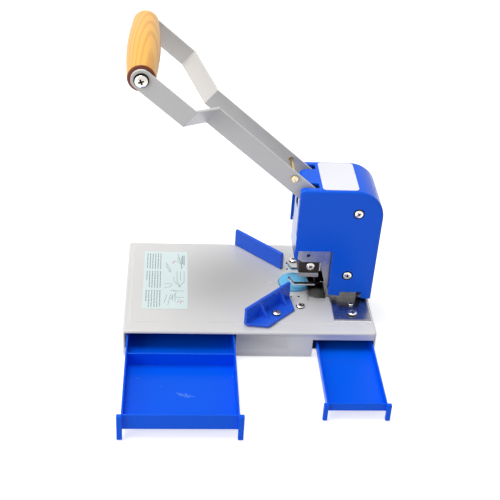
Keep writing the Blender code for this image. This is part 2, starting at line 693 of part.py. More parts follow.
GUIDE_STARTS = {-1: NEAR_GUIDE_START, 1: FAR_GUIDE_START}
FLANGE_CUTS = {-1: NEAR_FLANGE_CUT, 1: FAR_FLANGE_CUT}
guide_screw_places = [guide_point(side, GUIDE_STARTS[side] + GUIDE_SCREW_ALONG, GUIDE_SCREW_OUT)
                      for side, word in SIDES]
table_screw_places = [(TABLE_SCREW_PLACE, y) for y in both(TABLE_SCREW_HALF)]
foot_screw_places = [(FOOT_SCREW_PLACE, y) for y in both(FOOT_SCREW_HALF)]
foot_pin_places = [(FOOT_PIN_PLACE, y) for y in both(FOOT_PIN_HALF)]
for number, spot in enumerate(guide_screw_places + table_screw_places):
    drill(base, f"table_hole_{number}", (*spot, 0), SCREW_SHANK_RADIUS + FIT_GAP,
          DECK_UNDERSIDE - OVERRUN, TABLE_TOP + OVERRUN, "Z")
for number, spot in enumerate(foot_screw_places):
    drill(base, f"foot_hole_{number}", (*spot, 0), SCREW_SHANK_RADIUS + FIT_GAP,
          SMALL_BAY_CEILING - OVERRUN, TABLE_TOP, "Z")
for number, spot in enumerate(foot_pin_places):
    drill(base, f"pin_hole_{number}", (*spot, 0), FOOT_PIN_SHANK + FIT_GAP,
          SMALL_BAY_CEILING - OVERRUN, TABLE_TOP, "Z")
finish(base, GREY_PAINT, 0.35)

# Bottom plate: pressed steel sheet on which the drawers slide
bottom = box("bottom_plate", (SIDE_WALL + FIT_GAP, FRONT_WALL + FIT_GAP, PLATE_LEVEL),
             (SMALL_BAY_END - FIT_GAP, BAY_BACK - FIT_GAP, PLATE_TOP))
FOOT_PLACES = [(x, y) for x in (FOOT_INSET, BASE_LENGTH - FOOT_INSET)
               for y in (FOOT_INSET, BASE_DEPTH - FOOT_INSET)]
for number, (x, y) in enumerate(FOOT_PLACES):
    drill(bottom, f"stem_hole_{number}", (x, y, 0), FOOT_STEM_RADIUS + FIT_GAP,
          PLATE_LEVEL - OVERRUN, PLATE_TOP + OVERRUN, "Z")
for number, (x, y) in enumerate(BOSS_PLACES):
    drill(bottom, f"screw_hole_{number}", (x, y, 0), PLATE_SCREW_RADIUS + FIT_GAP,
          PLATE_LEVEL - OVERRUN, PLATE_TOP + OVERRUN, "Z")
finish(bottom, CHROME, 0.45, 0.9)

# Rubber feet, each with a stem that snaps into the bottom plate
foot_profile = ((0, PLATE_TOP - STEM_SHORT), (FOOT_STEM_RADIUS, PLATE_TOP - STEM_SHORT),
                (FOOT_STEM_RADIUS, PLATE_LEVEL - FIT_GAP), (FOOT_RADIUS, PLATE_LEVEL - FIT_GAP),
                (FOOT_RADIUS, SMALL_EDGE), (FOOT_RADIUS - SMALL_EDGE, 0), (0, 0))
foot_mesh = profile_mesh("rubber_foot", foot_profile)
for number, (x, y) in enumerate(FOOT_PLACES, 1):
    finish(turned(f"rubber_foot_{number}", foot_mesh, (x, y, 0), "+Z"), RUBBER, 0.8)
plate_screw = screw_mesh("bottom_plate_screw", PLATE_SCREW_HEAD_RADIUS, PLATE_SCREW_HEAD, SMALL_EDGE,
                         PLATE_SCREW_RADIUS, PLATE_SCREW_LENGTH)
screws("bottom_plate_screw", plate_screw, [(x, y, PLATE_LEVEL - FIT_GAP) for x, y in BOSS_PLACES], "-Z")


# Drawers: open trays with two posts that stop on the front of the base

def drawer(name, slide, start, width, length, top, pull, post_out, post_depth, post_top):
    front = -pull
    right = start + width
    tray = box(name, (start, front, DRAWER_BOTTOM), (right, front + length, top), slide)
    inside = front + DRAWER_WALL
    floor = DRAWER_BOTTOM + DRAWER_FLOOR
    back = front + length - DRAWER_WALL
    hollow = ((inside, top + OVERRUN), (inside, floor + DRAWER_SLOPE_RISE),
              (inside + DRAWER_SLOPE_RUN, floor), (back, floor), (back, top + OVERRUN))
    cut(tray, extrusion(f"{name}_hollow", hollow, "X", start + DRAWER_WALL, right - DRAWER_WALL, slide, True))
    for edge, outward, word in ((start, -1, "left"), (right, 1, "right")):
        low, high = sorted((edge + outward * post_out, edge - outward * POST_IN))
        add_box(tray, f"post_{word}", (low, front - post_depth, POST_BOTTOM), (high, front, post_top))
        low, high = sorted((edge, edge - outward * POST_IN))
        add_box(tray, f"post_root_{word}", (low, front - OVERLAP, DRAWER_BOTTOM),
                (high, front + DRAWER_WALL, top))
    return tray


large = drawer("large_drawer", LARGE_SLIDE, LARGE_DRAWER_START, LARGE_DRAWER_WIDTH, LARGE_DRAWER_LENGTH,
               LARGE_DRAWER_TOP, LARGE_DRAWER_PULL, LARGE_POST_OUT, LARGE_POST_DEPTH, LARGE_POST_TOP)
divider_front = LARGE_DIVIDER_PLACE - LARGE_DRAWER_PULL
add_box(large, "divider", (LARGE_DRAWER_START + OVERLAP, divider_front, DRAWER_BOTTOM + OVERLAP),
        (LARGE_DRAWER_START + LARGE_DRAWER_WIDTH - OVERLAP, divider_front + DRAWER_WALL,
         LARGE_DRAWER_TOP - DIVIDER_DROP))
finish(large, DRAWER_BLUE, 0.35)
small = drawer("small_drawer", SMALL_SLIDE, SMALL_DRAWER_START, SMALL_DRAWER_WIDTH, SMALL_DRAWER_LENGTH,
               SMALL_DRAWER_TOP, SMALL_DRAWER_PULL, SMALL_POST_OUT, SMALL_POST_DEPTH, SMALL_POST_TOP)
finish(small, DRAWER_BLUE, 0.35)

# Cutting disc: turned by hand on its spigot for a fresh cutting surface
disc_bottom = SEAT_FLOOR + FIT_GAP
disc_mesh = profile_mesh("cutting_disc", ((0, DISC_TOP), (DISC_RADIUS - SMALL_EDGE, DISC_TOP),
                                          (DISC_RADIUS, DISC_TOP - SMALL_EDGE), (DISC_RADIUS, disc_bottom),
                                          (SPIGOT_RADIUS, disc_bottom),
                                          (SPIGOT_RADIUS, disc_bottom - SPIGOT_LENGTH),
                                          (0, disc_bottom - SPIGOT_LENGTH)))
finish(turned("cutting_disc", disc_mesh, disc_centre, "+Z", DISC_AXIS, ROUND_STEPS), DISC_BLUE, 0.35)


# Corner guides: an upright wall with a screwed flange and two ribs behind it

def guide(name, side):
    """Local X runs along the guide from the apex; the paper side is Y 0."""
    turn = math.radians(180 - side * GUIDE_ANGLE_DEGREES)
    home = empty(f"{name}_place", (GUIDE_APEX, GUIDE_CENTRE, 0), ROOT, (0, 0, turn))
    start = GUIDE_STARTS[side]
    end = start + GUIDE_LENGTH
    level = TABLE_TOP + FIT_GAP
    top = TABLE_TOP + GUIDE_HEIGHT

    def outward(outline):
        return [(a, -side * b) for a, b in outline]

    wall_outline = outward(((start, 0), (end, 0), (end, GUIDE_THICKNESS), (start, GUIDE_THICKNESS)))
    made = extrusion(name, wall_outline, "Z", level, top, home, rounding=lambda shape:
                     bevel_where(shape, lambda co: co.z > top - FIT_GAP, GUIDE_EDGE, 2))
    half = GUIDE_THICKNESS / 2
    flange = outward(((start, half), (start, GUIDE_THICKNESS), (start + FLANGE_FRONT_CUT, FLANGE_REACH),
                      (end - FLANGE_CUTS[side], FLANGE_REACH), (end, FLANGE_REAR_WIDTH), (end, half)))
    add(made, extrusion(f"{name}_flange", flange, "Z", level, level + FLANGE_THICKNESS, home, True))
    rib_foot = level + FLANGE_THICKNESS / 2
    rib = [(-side * out, z) for out, z in ((half, rib_foot), (RIB_REACH, rib_foot),
                                           (RIB_REACH, level + FLANGE_THICKNESS),
                                           (GUIDE_THICKNESS, top - RIB_DROP), (half, top - RIB_DROP))]
    for number, place in enumerate((RIB_FIRST, RIB_SECOND)):
        add(made, extrusion(f"{name}_rib_{number}", rib, "X", start + place,
                            start + place + RIB_THICKNESS, home, True))
    drill(made, "hole", (start + GUIDE_SCREW_ALONG, -side * GUIDE_SCREW_OUT, 0),
          SCREW_SHANK_RADIUS + FIT_GAP, TABLE_TOP - OVERRUN, level + FLANGE_THICKNESS + OVERRUN, "Z")
    finish(made, GUIDE_BLUE, 0.3)


for side, word in SIDES:
    guide(f"{word}_guide", side)
guide_head_level = TABLE_TOP + FIT_GAP + FLANGE_THICKNESS + FIT_GAP
guide_screw = screw_mesh("guide_screw", SCREW_HEAD_RADIUS, SCREW_HEAD_HEIGHT, HEAD_DOME,
                         SCREW_SHANK_RADIUS, FLANGE_THICKNESS + SCREW_BITE)
screws("guide_screw", guide_screw, [(*spot, guide_head_level) for spot in guide_screw_places], "+Z")
table_screw = screw_mesh("table_screw", SCREW_HEAD_RADIUS, SCREW_HEAD_HEIGHT, HEAD_DOME,
                         SCREW_SHANK_RADIUS, SCREW_BITE)
screws("table_screw", table_screw, [(*spot, TABLE_TOP + FIT_GAP) for spot in table_screw_places], "+Z")
foot_screw = screw_mesh("foot_screw", SCREW_HEAD_RADIUS, SCREW_HEAD_HEIGHT, HEAD_DOME,
                        SCREW_SHANK_RADIUS, SCREW_BITE)
screws("foot_screw", foot_screw, [(*spot, FOOT_TOP + FIT_GAP) for spot in foot_screw_places], "+Z")
foot_pin = screw_mesh("foot_pin", FOOT_PIN_HEAD_RADIUS, FOOT_PIN_HEAD, SMALL_EDGE, FOOT_PIN_SHANK,
                      SCREW_BITE)
screws("foot_pin", foot_pin, [(*spot, FOOT_TOP + FIT_GAP) for spot in foot_pin_places], "+Z")

# Frame side plates: plated steel, each bent outwards into a foot
cover_screw_places = ((COVER_SCREW_UPPER_PLACE, COVER_SCREW_UPPER_LEVEL),
                      (COVER_SCREW_LOWER_PLACE, COVER_SCREW_LOWER_LEVEL))
foot_bottom = FOOT_FLOOR + FIT_GAP
side_profile = ((FRAME_FRONT, NOSE_BOTTOM + NOSE_CHAMFER_RISE),
                (FRAME_FRONT + NOSE_CHAMFER_RUN, NOSE_BOTTOM), (THROAT_END, NOSE_BOTTOM),
                (COLUMN_FRONT, COLUMN_KNEE), (COLUMN_FRONT, TABLE_TOP + FIT_GAP),
                (FOOT_START, TABLE_TOP + FIT_GAP), (FOOT_START, foot_bottom), (FRAME_BACK, foot_bottom),
                (FRAME_BACK, FRAME_TOP - FRAME_TOP_CHAMFER), (FRAME_BACK - FRAME_TOP_CHAMFER, FRAME_TOP),
                (FRAME_FRONT + NOSE_CHAMFER_RISE, FRAME_TOP), (FRAME_FRONT, FRAME_TOP - NOSE_CHAMFER_RISE))
for at, (side, word) in enumerate(SIDES):
    low, high = across(side, FRAME_INNER, FRAME_HALF)
    plate = extrusion(f"frame_side_{word}", side_profile, "Y", low, high)
    low, high = across(side, FRAME_HALF - OVERLAP, FOOT_OUTER_HALF)
    add_box(plate, "foot", (FOOT_START, low, foot_bottom), (FOOT_END, high, FOOT_TOP))
    low, high = across(side, FRAME_INNER - OVERRUN, FRAME_HALF + OVERRUN)
    drill(plate, "pivot_hole", (PIVOT_PLACE, 0, PIVOT_LEVEL), PIVOT_RADIUS + FIT_GAP, low, high, "Y",
          ROUND_STEPS)
    drill(plate, "sight_hole", (SIGHT_HOLE_PLACE, 0, SIGHT_HOLE_LEVEL), SIGHT_HOLE_RADIUS, low, high, "Y")
    for number, (x, z) in enumerate(cover_screw_places):
        drill(plate, f"screw_hole_{number}", (x, 0, z), SCREW_SHANK_RADIUS + FIT_GAP, low, high, "Y")
    drill(plate, "foot_hole", (*foot_screw_places[at], 0), SCREW_SHANK_RADIUS + FIT_GAP,
          foot_bottom - OVERRUN, FOOT_TOP + OVERRUN, "Z")
    drill(plate, "pin_hole", (*foot_pin_places[at], 0), FOOT_PIN_SHANK + FIT_GAP,
          foot_bottom - OVERRUN, FOOT_TOP + OVERRUN, "Z")
    finish(plate, CHROME, 0.15, 1.0)

# Back plate between the side plates: the ram slides on it and it holds the stripper fork
back_plate_back = BACK_PLATE_FRONT + BACK_PLATE_THICKNESS
back_plate = box("frame_back_plate", (BACK_PLATE_FRONT, CENTRELINE - RAM_HALF, BACK_PLATE_BOTTOM),
                 (back_plate_back, CENTRELINE + RAM_HALF, BACK_PLATE_TOP))
FORK_TAB_TOP = FORK_LEVEL + FORK_TAB_HEIGHT
FORK_SCREW_LEVEL = (BACK_PLATE_BOTTOM + FORK_TAB_TOP) / 2
drill(back_plate, "screw_hole", (0, CENTRELINE, FORK_SCREW_LEVEL), FORK_SCREW_RADIUS + FIT_GAP,
      BACK_PLATE_FRONT - OVERRUN, back_plate_back + OVERRUN, "X")
finish(back_plate, CHROME, 0.3, 1.0)


# Pivot pin of the lever: a shaft with a head at each end

def pin_mesh(name, radius, half, head_radius, head):
    return profile_mesh(name, ((0, half + head), (head_radius, half + head), (head_radius, half),
                               (radius, half), (radius, -half), (head_radius, -half),
                               (head_radius, -half - head), (0, -half - head)))


pivot_mesh = pin_mesh("pivot_pin", PIVOT_RADIUS, FRAME_HALF + FIT_GAP, PIVOT_HEAD_RADIUS, PIVOT_HEAD)
finish(turned("pivot_pin", pivot_mesh, PIVOT, "+Y", ROOT, ROUND_STEPS), CHROME, 0.3, 1.0)


# Ram: a steel block with a neck between the lever bars, forked for the spring's leg

def lever_point(along, above):
    """A point in the lever's plane: along the bar from the pivot, and square to the bar."""
    return (PIVOT_PLACE - math.cos(RISE) * along + math.sin(RISE) * above,
            PIVOT_LEVEL + math.sin(RISE) * along + math.cos(RISE) * above)


SHAFT_X, SHAFT_Z = lever_point(PRESS_SHAFT_ALONG, PRESS_SHAFT_ABOVE)
ram_outline = [(CENTRELINE + y, z) for y, z in (
    (-RAM_HALF, RAM_BOTTOM), (RAM_HALF, RAM_BOTTOM), (RAM_HALF, RAM_SHOULDER),
    (RAM_NECK_HALF, RAM_SHOULDER), (RAM_NECK_HALF, RAM_TOP), (-RAM_NECK_HALF, RAM_TOP),
    (-RAM_NECK_HALF, RAM_SHOULDER), (-RAM_HALF, RAM_SHOULDER))]
ram = extrusion("ram", ram_outline, "X", RAM_FRONT, RAM_BACK, RAM_AXIS, rounding=lambda shape:
                bevel_where(shape, lambda co: co.z > RAM_SHOULDER - FIT_GAP, RAM_EDGE, 1))
groove = ((RAM_FRONT - OVERRUN, GROOVE_FRONT_LEVEL), (RAM_FRONT, GROOVE_FRONT_LEVEL),
          (RAM_BACK, GROOVE_BACK_LEVEL), (RAM_BACK + OVERRUN, GROOVE_BACK_LEVEL),
          (RAM_BACK + OVERRUN, RAM_TOP + OVERRUN), (RAM_FRONT - OVERRUN, RAM_TOP + OVERRUN))
cut(ram, extrusion("ram_groove", groove, "Y", CENTRELINE - LEG_GROOVE_HALF,
                   CENTRELINE + LEG_GROOVE_HALF, RAM_AXIS, True))
shaft_slot = rounded_rectangle(
    (SHAFT_X - SHAFT_ADVANCE - PRESS_SHAFT_RADIUS - SHAFT_PLAY_SIDE,
     SHAFT_Z - PRESS_SHAFT_RADIUS - SHAFT_PLAY_BELOW),
    (SHAFT_X + PRESS_SHAFT_RADIUS + SHAFT_PLAY_SIDE, SHAFT_Z + PRESS_SHAFT_RADIUS + SHAFT_PLAY_ABOVE),
    SHAFT_SLOT_CORNER, 3)
cut(ram, extrusion("ram_shaft_slot", shaft_slot, "Y", CENTRELINE - RAM_HALF, CENTRELINE + RAM_HALF,
                   RAM_AXIS, True))
finish(ram, CHROME, 0.2, 1.0)

# Tool: dark holder, plated flange and the curved blade under it
holder = box("tool_holder", (HOLDER_START, CENTRELINE - HOLDER_HALF, HOLDER_BOTTOM),
             (HOLDER_END, CENTRELINE + HOLDER_HALF, HOLDER_TOP), RAM_AXIS)
holder_face = CENTRELINE - HOLDER_HALF
drill(holder, "screw_hole", (TOOL_SCREW_PLACE, 0, TOOL_SCREW_LEVEL), SCREW_SHANK_RADIUS + FIT_GAP,
      holder_face - OVERRUN, holder_face + SCREW_BITE + FIT_GAP, "Y")
finish(holder, DARK_STEEL, 0.35, 1.0)
tool_flange = box("tool_flange", (TOOL_FLANGE_START, CENTRELINE - TOOL_FLANGE_HALF, TOOL_FLANGE_BOTTOM),
                  (TOOL_FLANGE_END, CENTRELINE + TOOL_FLANGE_HALF, TOOL_FLANGE_TOP), RAM_AXIS)
finish(tool_flange, CHROME, 0.15, 1.0)
tool_screw = screw_mesh("tool_screw", SCREW_HEAD_RADIUS, SCREW_HEAD_HEIGHT, HEAD_DOME,
                        SCREW_SHANK_RADIUS, SCREW_BITE)
screws("tool_screw", tool_screw, [(TOOL_SCREW_PLACE, holder_face - FIT_GAP, TOOL_SCREW_LEVEL)], "-Y",
       RAM_AXIS)


def blade_outline():
    """The rounded corner: an arc that meets both guide lines, with a short wing at each end."""
    diagonal = math.sqrt(0.5)
    centre = (GUIDE_APEX - BLADE_RADIUS / diagonal, GUIDE_CENTRE)
    inner = arc(centre, BLADE_RADIUS, -GUIDE_ANGLE_DEGREES, GUIDE_ANGLE_DEGREES)
    outer = arc(centre, BLADE_RADIUS + BLADE_THICKNESS, -GUIDE_ANGLE_DEGREES, GUIDE_ANGLE_DEGREES)
    shift = diagonal * BLADE_WING

    def wing(point, side):
        return (point[0] - shift, point[1] + side * shift)

    return ([wing(inner[0], -1)] + inner + [wing(inner[-1], 1), wing(outer[-1], 1)] + outer[::-1]
            + [wing(outer[0], -1)])


BLADE_TIP = DISC_TOP + BLADE_CLEARANCE + STROKE
blade = extrusion("blade", blade_outline(), "Z", BLADE_TIP, TOOL_FLANGE_BOTTOM - FIT_GAP, RAM_AXIS)
finish(blade, CHROME, 0.2, 1.0)

# Stripper fork: sheet with two upturned arms that hold the paper down beside the blade
FORK_BACK = BACK_PLATE_FRONT - FIT_GAP
fork_slope = math.atan2(FORK_TIP_RISE, FORK_BEND_PLACE - FORK_TIP_PLACE)
fork_lift = FORK_THICKNESS * math.tan(fork_slope / 2)
fork_profile = ((FORK_BEND_PLACE, FORK_LEVEL), (FORK_BACK, FORK_LEVEL), (FORK_BACK, FORK_TAB_TOP),
                (FORK_BACK - FORK_THICKNESS, FORK_TAB_TOP),
                (FORK_BACK - FORK_THICKNESS, FORK_LEVEL + FORK_THICKNESS),
                (FORK_BEND_PLACE + fork_lift, FORK_LEVEL + FORK_THICKNESS),
                (FORK_TIP_PLACE + FORK_THICKNESS * math.sin(fork_slope),
                 FORK_LEVEL + FORK_TIP_RISE + FORK_THICKNESS * math.cos(fork_slope)),
                (FORK_TIP_PLACE, FORK_LEVEL + FORK_TIP_RISE))
fork = extrusion("stripper_fork", fork_profile, "Y", *both(FORK_OUTER_HALF))
cut_box(fork, "gap", (FORK_TIP_PLACE - OVERRUN, CENTRELINE - FORK_INNER_HALF, FORK_LEVEL - OVERRUN),
        (FORK_BACK - FORK_BRIDGE, CENTRELINE + FORK_INNER_HALF, FORK_TAB_TOP + OVERRUN))
for side, word in SIDES:
    corner = ((FORK_BACK + OVERRUN, CENTRELINE + side * (FORK_OUTER_HALF - FORK_CORNER_CUT)),
              (FORK_BACK - FORK_CORNER_RUN, CENTRELINE + side * (FORK_OUTER_HALF - FORK_CORNER_CUT)),
              (FORK_BACK - FORK_BRIDGE, CENTRELINE + side * FORK_OUTER_HALF),
              (FORK_BACK - FORK_BRIDGE, CENTRELINE + side * (FORK_OUTER_HALF + OVERRUN)),
              (FORK_BACK + OVERRUN, CENTRELINE + side * (FORK_OUTER_HALF + OVERRUN)))
    cut(fork, extrusion(f"fork_corner_{word}", corner, "Z", FORK_LEVEL - OVERRUN, FORK_TAB_TOP + OVERRUN,
                        cutter=True))
drill(fork, "screw_hole", (0, CENTRELINE, FORK_SCREW_LEVEL), FORK_SCREW_RADIUS + FIT_GAP,
      FORK_BACK - OVERRUN, FORK_BACK + OVERRUN, "X")
finish(fork, CHROME, 0.15, 1.0)
fork_screw = screw_mesh("fork_screw", FORK_SCREW_HEAD_RADIUS, FORK_SCREW_HEAD, SMALL_EDGE,
                        FORK_SCREW_RADIUS, FORK_THICKNESS + BACK_PLATE_THICKNESS)
screws("fork_screw", fork_screw, [(FORK_BACK - FORK_THICKNESS - FIT_GAP, CENTRELINE, FORK_SCREW_LEVEL)],
       "-X")


# Head cover: one moulded shell, open at the front and the bottom

def cover_bottom(x):
    share = (x - WINDOW_END) / (COVER_BACK - COVER_DRAFT - WINDOW_END)
    return COVER_FRONT_BOTTOM + share * (COVER_BACK_BOTTOM - COVER_FRONT_BOTTOM)


arc_centre = (COVER_BACK - COVER_BACK_RADIUS, COVER_TOP - COVER_BACK_RADIUS)
cover_upper = (arc((COVER_FRONT + COVER_FRONT_RADIUS, COVER_TOP - COVER_FRONT_RADIUS),
                   COVER_FRONT_RADIUS, 180, 90, 4)
               + arc(arc_centre, COVER_BACK_RADIUS, 90, 0, COVER_ARC_STEPS))
cover_lower = [(COVER_BACK - COVER_DRAFT, COVER_BACK_BOTTOM), (NOTCH_END, cover_bottom(NOTCH_END)),
               (NOTCH_END, NOTCH_TOP), (NOTCH_START, NOTCH_TOP), (NOTCH_START, cover_bottom(NOTCH_START)),
               (WINDOW_END, COVER_FRONT_BOTTOM), (WINDOW_END, WINDOW_TOP), (WINDOW_START, WINDOW_TOP),
               (WINDOW_START, POST_TIP_BACK), (COVER_FRONT, POST_TIP_FRONT)]


def round_cover_rim(shape):
    """Round the two long side edges, from the top of the front over the back to the bottom."""
    rim = {(round(x, 6), round(z, 6)) for x, z in cover_upper + cover_lower[:1]}

    def on_rim(vert):
        return (round(vert.co.x, 6), round(vert.co.z, 6)) in rim

    edges = [edge for edge in shape.edges if on_rim(edge.verts[0]) and on_rim(edge.verts[1])
             and abs(edge.verts[0].co.y - edge.verts[1].co.y) < COVER_HALF]
    bmesh.ops.bevel(shape, geom=edges, offset=COVER_SIDE_RADIUS, segments=3, profile=0.5,
                    affect="EDGES", material=-1)


cover = extrusion("head_cover", cover_upper + cover_lower, "Y", *both(COVER_HALF),
                  rounding=round_cover_rim)
hollow = ([(COVER_FRONT - OVERRUN, COVER_TOP - COVER_WALL)]
          + arc(arc_centre, COVER_BACK_RADIUS - COVER_WALL, 90, 0, COVER_ARC_STEPS)
          + [(COVER_BACK - COVER_DRAFT - COVER_WALL, COVER_BACK_BOTTOM),
             (COVER_BACK - COVER_DRAFT - COVER_WALL, 0), (COVER_FRONT - OVERRUN, 0)])
cut(cover, extrusion("cover_hollow", hollow, "Y", *both(COVER_INNER), cutter=True))
cut_box(cover, "far_front", (COVER_FRONT - OVERRUN, CENTRELINE, POST_TIP_BACK - OVERRUN),
        (WINDOW_START + OVERLAP, CENTRELINE + COVER_HALF + OVERRUN, WINDOW_TOP + SMALL_EDGE))
nose_radius = LEVER_SLOT_INNER - TONGUE_FLAT_HALF
half_comb = (arc((TONGUE_FRONT + nose_radius, TONGUE_FLAT_HALF), nose_radius, 180, 90, 6)
             + [(LEVER_SLOT_END, LEVER_SLOT_INNER), (LEVER_SLOT_END, LEVER_SLOT_OUTER),
                (COVER_FRONT - OVERRUN, LEVER_SLOT_OUTER)])
comb = half_comb + [(x, -y) for x, y in half_comb[::-1]]
cut(cover, extrusion("cover_slots", [(x, CENTRELINE + y) for x, y in comb], "Z",
                     COVER_TOP - COVER_WALL - OVERRUN, COVER_TOP + OVERRUN, cutter=True))
cut_box(cover, "tongue_relief",
        (COVER_FRONT - OVERRUN, CENTRELINE - LEG_GROOVE_HALF, COVER_TOP - COVER_WALL - OVERRUN),
        (LEVER_SLOT_END, CENTRELINE + LEG_GROOVE_HALF, COVER_TOP - TONGUE_THICKNESS))
cover_seat = COVER_HALF - COVER_RECESS_DEPTH
for side, word in SIDES:
    for number, (x, z) in enumerate(cover_screw_places):
        low, high = across(side, FRAME_HALF + FIT_GAP, COVER_INNER + OVERLAP)
        add(cover, cylinder(f"cover_boss_{word}_{number}", (x, 0, z), COVER_BOSS_RADIUS, low, high, "Y",
                            ROOT, True, SMALL_ROUND_STEPS))
        low, high = across(side, FRAME_INNER, COVER_HALF + OVERRUN)
        drill(cover, f"hole_{word}_{number}", (x, 0, z), SCREW_SHANK_RADIUS + FIT_GAP, low, high, "Y")
        low, high = across(side, cover_seat, COVER_HALF + OVERRUN)
        drill(cover, f"recess_{word}_{number}", (x, 0, z), COVER_RECESS_RADIUS, low, high, "Y", ROUND_STEPS)
finish(cover, COVER_BLUE, 0.3)
cover_screw = screw_mesh("cover_screw", SCREW_HEAD_RADIUS, SCREW_HEAD_HEIGHT, HEAD_DOME,
                         SCREW_SHANK_RADIUS, cover_seat + FIT_GAP - FRAME_INNER - SLIP_GAP)
screws("cover_screw", cover_screw,
       [(x, y, z) for y in both(cover_seat + FIT_GAP) for x, z in cover_screw_places],
       ("-Y", "-Y", "+Y", "+Y"))

# Blank label on the cover and plain sticker on the table
label_outline = rounded_rectangle((LABEL_START, CENTRELINE - LABEL_HALF),
                                  (LABEL_END, CENTRELINE + LABEL_HALF), LABEL_CORNER, 5)
label_level = COVER_TOP + SHEET_GAP
finish(extrusion("cover_label", label_outline, "Z", label_level, label_level + LABEL_THICKNESS), PAPER, 0.4)
sticker_level = TABLE_TOP + SHEET_GAP
finish(box("table_sticker", (STICKER_START, STICKER_FRONT, sticker_level),
           (STICKER_END, STICKER_BACK, sticker_level + LABEL_THICKNESS)), STICKER_PAPER, 0.4)


# Lever bars, measured along the bar, across the machine and square to the bar

def lever_bar(name, side):
    slant = math.atan2(BAR_GRIP_OUTER - BAR_HEAD_OUTER, SECOND_BEND - FIRST_BEND)
    shift = BAR_THICKNESS * math.tan(slant / 2)
    outer = ((-BAR_WIDTH, BAR_HEAD_OUTER), (FIRST_BEND, BAR_HEAD_OUTER), (SECOND_BEND, BAR_GRIP_OUTER),
             (LEVER_LENGTH + BAR_WIDTH, BAR_GRIP_OUTER))
    inner = ((-BAR_WIDTH, BAR_HEAD_INNER), (FIRST_BEND + shift, BAR_HEAD_INNER),
             (SECOND_BEND + shift, BAR_GRIP_INNER), (LEVER_LENGTH + BAR_WIDTH, BAR_GRIP_INNER))
    strip = [(x, -side * y) for x, y in outer + inner[::-1]]
    bar = extrusion(name, strip, "Z", -BAR_WIDTH, BAR_WIDTH, LEVER)
    ends = arc((0, 0), HALF_BAR, 90, 270, 10) + arc((LEVER_LENGTH, 0), HALF_BAR, -90, 90, 10)
    reach = BAR_GRIP_OUTER + OVERRUN
    combine(bar, extrusion(f"{name}_ends", ends, "Y", -reach, reach, LEVER, True), "INTERSECT")
    drill(bar, "pivot_hole", (0, 0, 0), PIVOT_RADIUS + FIT_GAP, -reach, reach, "Y", ROUND_STEPS)
    drill(bar, "pin_hole", (CROSS_PIN_ALONG, 0, CROSS_PIN_ABOVE), CROSS_PIN_RADIUS + FIT_GAP, -reach,
          reach, "Y")
    drill(bar, "shaft_hole", (PRESS_SHAFT_ALONG, 0, PRESS_SHAFT_ABOVE), PRESS_SHAFT_RADIUS + FIT_GAP,
          -reach, reach, "Y")
    drill(bar, "grip_hole", (LEVER_LENGTH, 0, 0), GRIP_SCREW_RADIUS + FIT_GAP, -reach, reach, "Y")
    finish(bar, LEVER_PAINT, 0.35)


for side, word in SIDES:
    lever_bar(f"lever_bar_{word}", side)
cross_mesh = pin_mesh("cross_pin", CROSS_PIN_RADIUS, BAR_HEAD_OUTER + FIT_GAP, CROSS_PIN_HEAD_RADIUS,
                      CROSS_PIN_HEAD)
finish(turned("cross_pin", cross_mesh, (CROSS_PIN_ALONG, 0, CROSS_PIN_ABOVE), "+Y", LEVER), YELLOW_ZINC,
       0.3, 1.0)
press_shaft = cylinder("press_shaft", (PRESS_SHAFT_ALONG, 0, PRESS_SHAFT_ABOVE), PRESS_SHAFT_RADIUS,
                       -BAR_HEAD_OUTER, BAR_HEAD_OUTER, "Y", LEVER)
finish(press_shaft, CHROME, 0.3, 1.0)

# Grip: turned and varnished wood, bored at both ends for its screws


def barrel_radius(place):
    """The grip's radius at a share of its length, fullest at the middle."""
    return GRIP_END_RADIUS + (GRIP_MID_RADIUS - GRIP_END_RADIUS) * math.sin(math.pi * place)


barrel_half = GRIP_HALF - GRIP_EDGE
barrel = [(barrel_radius(index / BARREL_STEPS), (1 - 2 * index / BARREL_STEPS) * barrel_half)
          for index in range(BARREL_STEPS + 1)]
bore_floor = GRIP_HALF - GRIP_BORE_DEPTH
grip_profile = ([(0, bore_floor), (GRIP_BORE_RADIUS, bore_floor), (GRIP_BORE_RADIUS, GRIP_HALF),
                 (GRIP_END_RADIUS - GRIP_EDGE, GRIP_HALF)] + barrel
                + [(GRIP_END_RADIUS - GRIP_EDGE, -GRIP_HALF), (GRIP_BORE_RADIUS, -GRIP_HALF),
                   (GRIP_BORE_RADIUS, -bore_floor), (0, -bore_floor)])
finish(turned("grip", profile_mesh("grip", grip_profile), (LEVER_LENGTH, 0, 0), "+Y", LEVER, ROUND_STEPS),
       WOOD, 0.3)
washer_top = GRIP_WASHER
head_top = GRIP_WASHER + GRIP_SCREW_HEAD
grip_screw = profile_mesh("grip_screw", (
    (0, head_top), (GRIP_SCREW_HEAD_RADIUS - HEAD_DOME, head_top),
    (GRIP_SCREW_HEAD_RADIUS, head_top - HEAD_DOME), (GRIP_SCREW_HEAD_RADIUS, washer_top),
    (GRIP_WASHER_RADIUS, washer_top), (GRIP_WASHER_RADIUS, 0), (GRIP_SCREW_RADIUS, 0),
    (GRIP_SCREW_RADIUS, -GRIP_SCREW_LENGTH), (0, -GRIP_SCREW_LENGTH)))
grip_seat = BAR_GRIP_OUTER + FIT_GAP
screws("grip_screw", grip_screw, [(LEVER_LENGTH, grip_seat, 0), (LEVER_LENGTH, -grip_seat, 0)],
       ("+Y", "-Y"), LEVER)


# Return spring: two coils on the pivot pin joined by one U shaped leg under the cross pin

